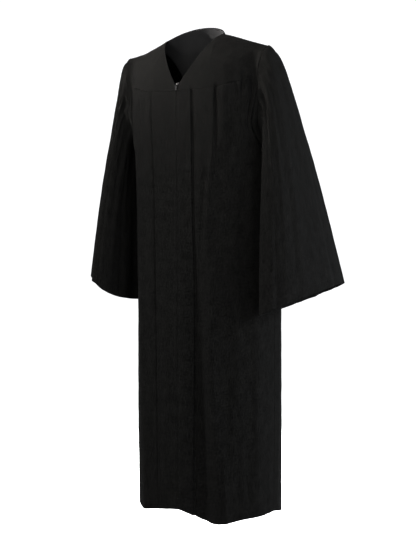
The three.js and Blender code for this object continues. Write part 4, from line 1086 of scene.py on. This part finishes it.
# ------------------------------------------------------------------ stitches, in the cloth's own colour
def stitch_rings(path, normal, pitch=3.1, length=2.3, half=0.17, sink=0.06):
    """Small capsules lying along a path on the cloth."""
    L = np.concatenate([[0], np.cumsum(np.linalg.norm(np.diff(path, axis=0), axis=1))])
    n = int(L[-1] / pitch)
    mid = (np.arange(n) + 0.5) * pitch
    ends = [mid + d * length / 2 for d in (-1, -0.72, 0, 0.72, 1)]
    size = [0.25, 0.9, 1, 0.9, 0.25]
    lift = [-0.12, 0.02, 0.09, 0.02, -0.12]
    at = lambda q, V: np.stack([np.interp(q, L, V[:, i]) for i in range(3)], -1)
    N = unit(at(mid, normal))
    T = unit(at(ends[-1], path) - at(ends[0], path))
    B = unit(np.cross(T, N))
    corner = np.arange(5) / 5 * 2 * np.pi
    rings = []
    for q, k, up in zip(ends, size, lift):
        c = at(q, path) + N * (up - sink + 0.1)
        rings.append(c[:, None] + half * k * (B[:, None] * np.cos(corner)[None, :, None] + N[:, None] * np.sin(corner)[None, :, None] * 0.8))
    return np.stack(rings, 1)


def across_columns(name, from_edge, end=False, pick=None, ring=False):
    """The points at a distance from a grid's first or last row edge, one to a column."""
    grid, normals, rnd, pos, lengths = GRIDS[name]
    order = range(grid.shape[1])
    P, N, R = [], [], []
    rows = grid.shape[0]
    edge = len(HEM if end else SEWN) - 1
    for j in order:
        want = lengths[j] - from_edge if end else from_edge
        sl = slice(0, rows - edge) if end else slice(edge, rows)
        P.append([np.interp(want, pos[sl, j], grid[sl, j, i]) for i in range(3)])
        N.append([np.interp(want, pos[sl, j], normals[sl, j, i]) for i in range(3)])
        R.append(np.interp(want, pos[sl, j], rnd[sl, j]))
    P, N, R = np.array(P), np.array(N), np.array(R)
    if ring:
        return np.concatenate([P, P[:1]]), np.concatenate([N, N[:1]])
    keep = pick(R, P) if pick else np.ones(len(R), bool)
    return P[keep], N[keep]


stitching = []
for name in ("front_left_cloth", "front_right_cloth", "back_cloth"):
    trim = 12
    P, N = across_columns(name, 21, end=True)
    stitching.append(stitch_rings(P[trim:-trim], N[trim:-trim]))
for name in ("sleeve_left_cloth", "sleeve_right_cloth"):
    P, N = across_columns(name, 21, end=True, ring=True)
    stitching.append(stitch_rings(P, N))
for side in ("left", "right"):
    for part in ("front_", "yoke_front_"):
        grid, normals, rnd, pos, lengths = GRIDS[part + side + "_cloth"]
        off = np.abs(rnd[0] - CLOSURE[0])
        j = int(np.argmin(np.abs(off - 6.5)))
        a = 12
        if part == "front_":
            stitching.append(stitch_rings(grid[a:-8, j], normals[a:-8, j]))
    P, N = across_columns("yoke_front_" + side + "_cloth", 6, pick=lambda R, P: (np.abs(R) < NECK_ROUND - 1) & (np.abs(R - CLOSURE[0]) > 5))
    stitching.append(stitch_rings(P, N))
P, N = across_columns("yoke_back_cloth", 6, pick=lambda R, P: np.abs(R) < NECK_ROUND - 1)
stitching.append(stitch_rings(P, N))
tube_mesh("stitching", np.concatenate(stitching), True, THREAD, None)


# ------------------------------------------------------------------ the zip's carried-over pieces
def set_material(name, material):
    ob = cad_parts[name]
    if not ob.material_slots:
        ob.data.materials.append(material)
    for slot in ob.material_slots:
        slot.material = material


for side in ("left", "right"):
    set_material("zip_tape_" + side, TAPE)
set_material("zip_slider", SLIDER_METAL)
set_material("zip_pull", PULL_METAL)


AREAS = {name: flat_area(g[0]) for name, g in GRIDS.items()}
print("areas", {k: round(v, 4) for k, v in AREAS.items()})


# ------------------------------------------------------------------ floor, light and camera
def plane(name, size, place, material):
    me = bpy.data.meshes.new(name)
    h = size / 2
    me.from_pydata([(-h, -h, 0), (h, -h, 0), (h, h, 0), (-h, h, 0)], [], [(0, 1, 2, 3)])
    me.materials.append(material)
    ob = bpy.data.objects.new(name, me)
    ob.location = place
    bpy.context.scene.collection.objects.link(ob)
    return ob


floor_material, floor_nt, floor_bsdf = new_material("floor_pale")
floor_bsdf.inputs["Base Color"].default_value = (0.6, 0.6, 0.602, 1)
floor_bsdf.inputs["Roughness"].default_value = 0.9
floor_bsdf.inputs["Specular IOR Level"].default_value = 0.1
floor_bsdf.inputs["Emission Color"].default_value = (0.985, 0.99, 1.0, 1)
floor_bsdf.inputs["Emission Strength"].default_value = 0.42
plane("floor", 60, (0, 0, -1.42), floor_material)

scene = bpy.context.scene
world = bpy.data.worlds.new("studio")
scene.world = world
world.use_nodes = True
world.node_tree.nodes["Background"].inputs[0].default_value = (0.985, 0.99, 1.0, 1)
world.node_tree.nodes["Background"].inputs[1].default_value = 1.1
scene.view_settings.view_transform = "Standard"
scene.view_settings.look = "None"
scene.view_settings.exposure = 0
scene.view_settings.gamma = 0.82


def aim(ob, target):
    d = np.array(target, float) - np.array(ob.location)
    from mathutils import Vector
    ob.rotation_euler = Vector(d).to_track_quat("-Z", "Y").to_euler()


def area_light(name, place, target, size, size_y, power, colour):
    data = bpy.data.lights.new(name, "AREA")
    data.shape = "RECTANGLE"
    data.size, data.size_y = size, size_y
    data.energy = power
    data.color = colour
    ob = bpy.data.objects.new(name, data)
    ob.location = place
    bpy.context.scene.collection.objects.link(ob)
    aim(ob, target)
    return ob


key = area_light("key", (0.2, -2.2, 0.9), (0, 0, -0.1), 0.8, 0.8, 72, (1.0, 0.985, 0.95))
key.data.spread = math.radians(90)
area_light("rim", (2.6, 1.2, 0.4), (0.1, 0, -0.3), 1.0, 1.0, 450, (0.92, 0.955, 1.0))
area_light("side", (4.0, -0.85, -0.4), (0.1, 0, -0.6), 1.1, 1.1, 230, (0.94, 0.965, 1.0))
left = area_light("left", (-3.0, -1.6, 0.1), (-0.25, 0, -0.4), 1.0, 1.0, 50, (1.0, 1.0, 0.99))
left.data.spread = math.radians(60)
fill = area_light("fill", (3.1, -2.0, 0.2), (0.15, 0, -0.25), 0.9, 0.9, 22, (0.97, 0.98, 1.0))
fill.data.spread = math.radians(70)
area_light("back", (-2.0, 3.2, 0.6), (0, 0, -0.4), 1.2, 1.2, 420, (1.0, 1.0, 1.0))
# a narrow soft beam over the right shoulder, on to the yokes and the back of the neck
beam = area_light("beam", (-2.0, -1.4, 0.8), (0.05, 0.05, -0.01), 0.25, 0.25, 8, (1.0, 0.96, 0.92))
beam.data.spread = math.radians(16)

cam_data = bpy.data.cameras.new("camera")
cam_data.sensor_width = 36
cam_data.lens = 99.94
cam_data.shift_x = 0.0226
cam_data.shift_y = 0.0054
cam_data.clip_end = 200
cam = bpy.data.objects.new("camera", cam_data)
cam.location = (2.0, -3.4641, -0.625)
cam.rotation_euler = (math.pi / 2, 0, math.radians(30))
scene.collection.objects.link(cam)
scene.camera = cam

bpy.context.view_layer.update()
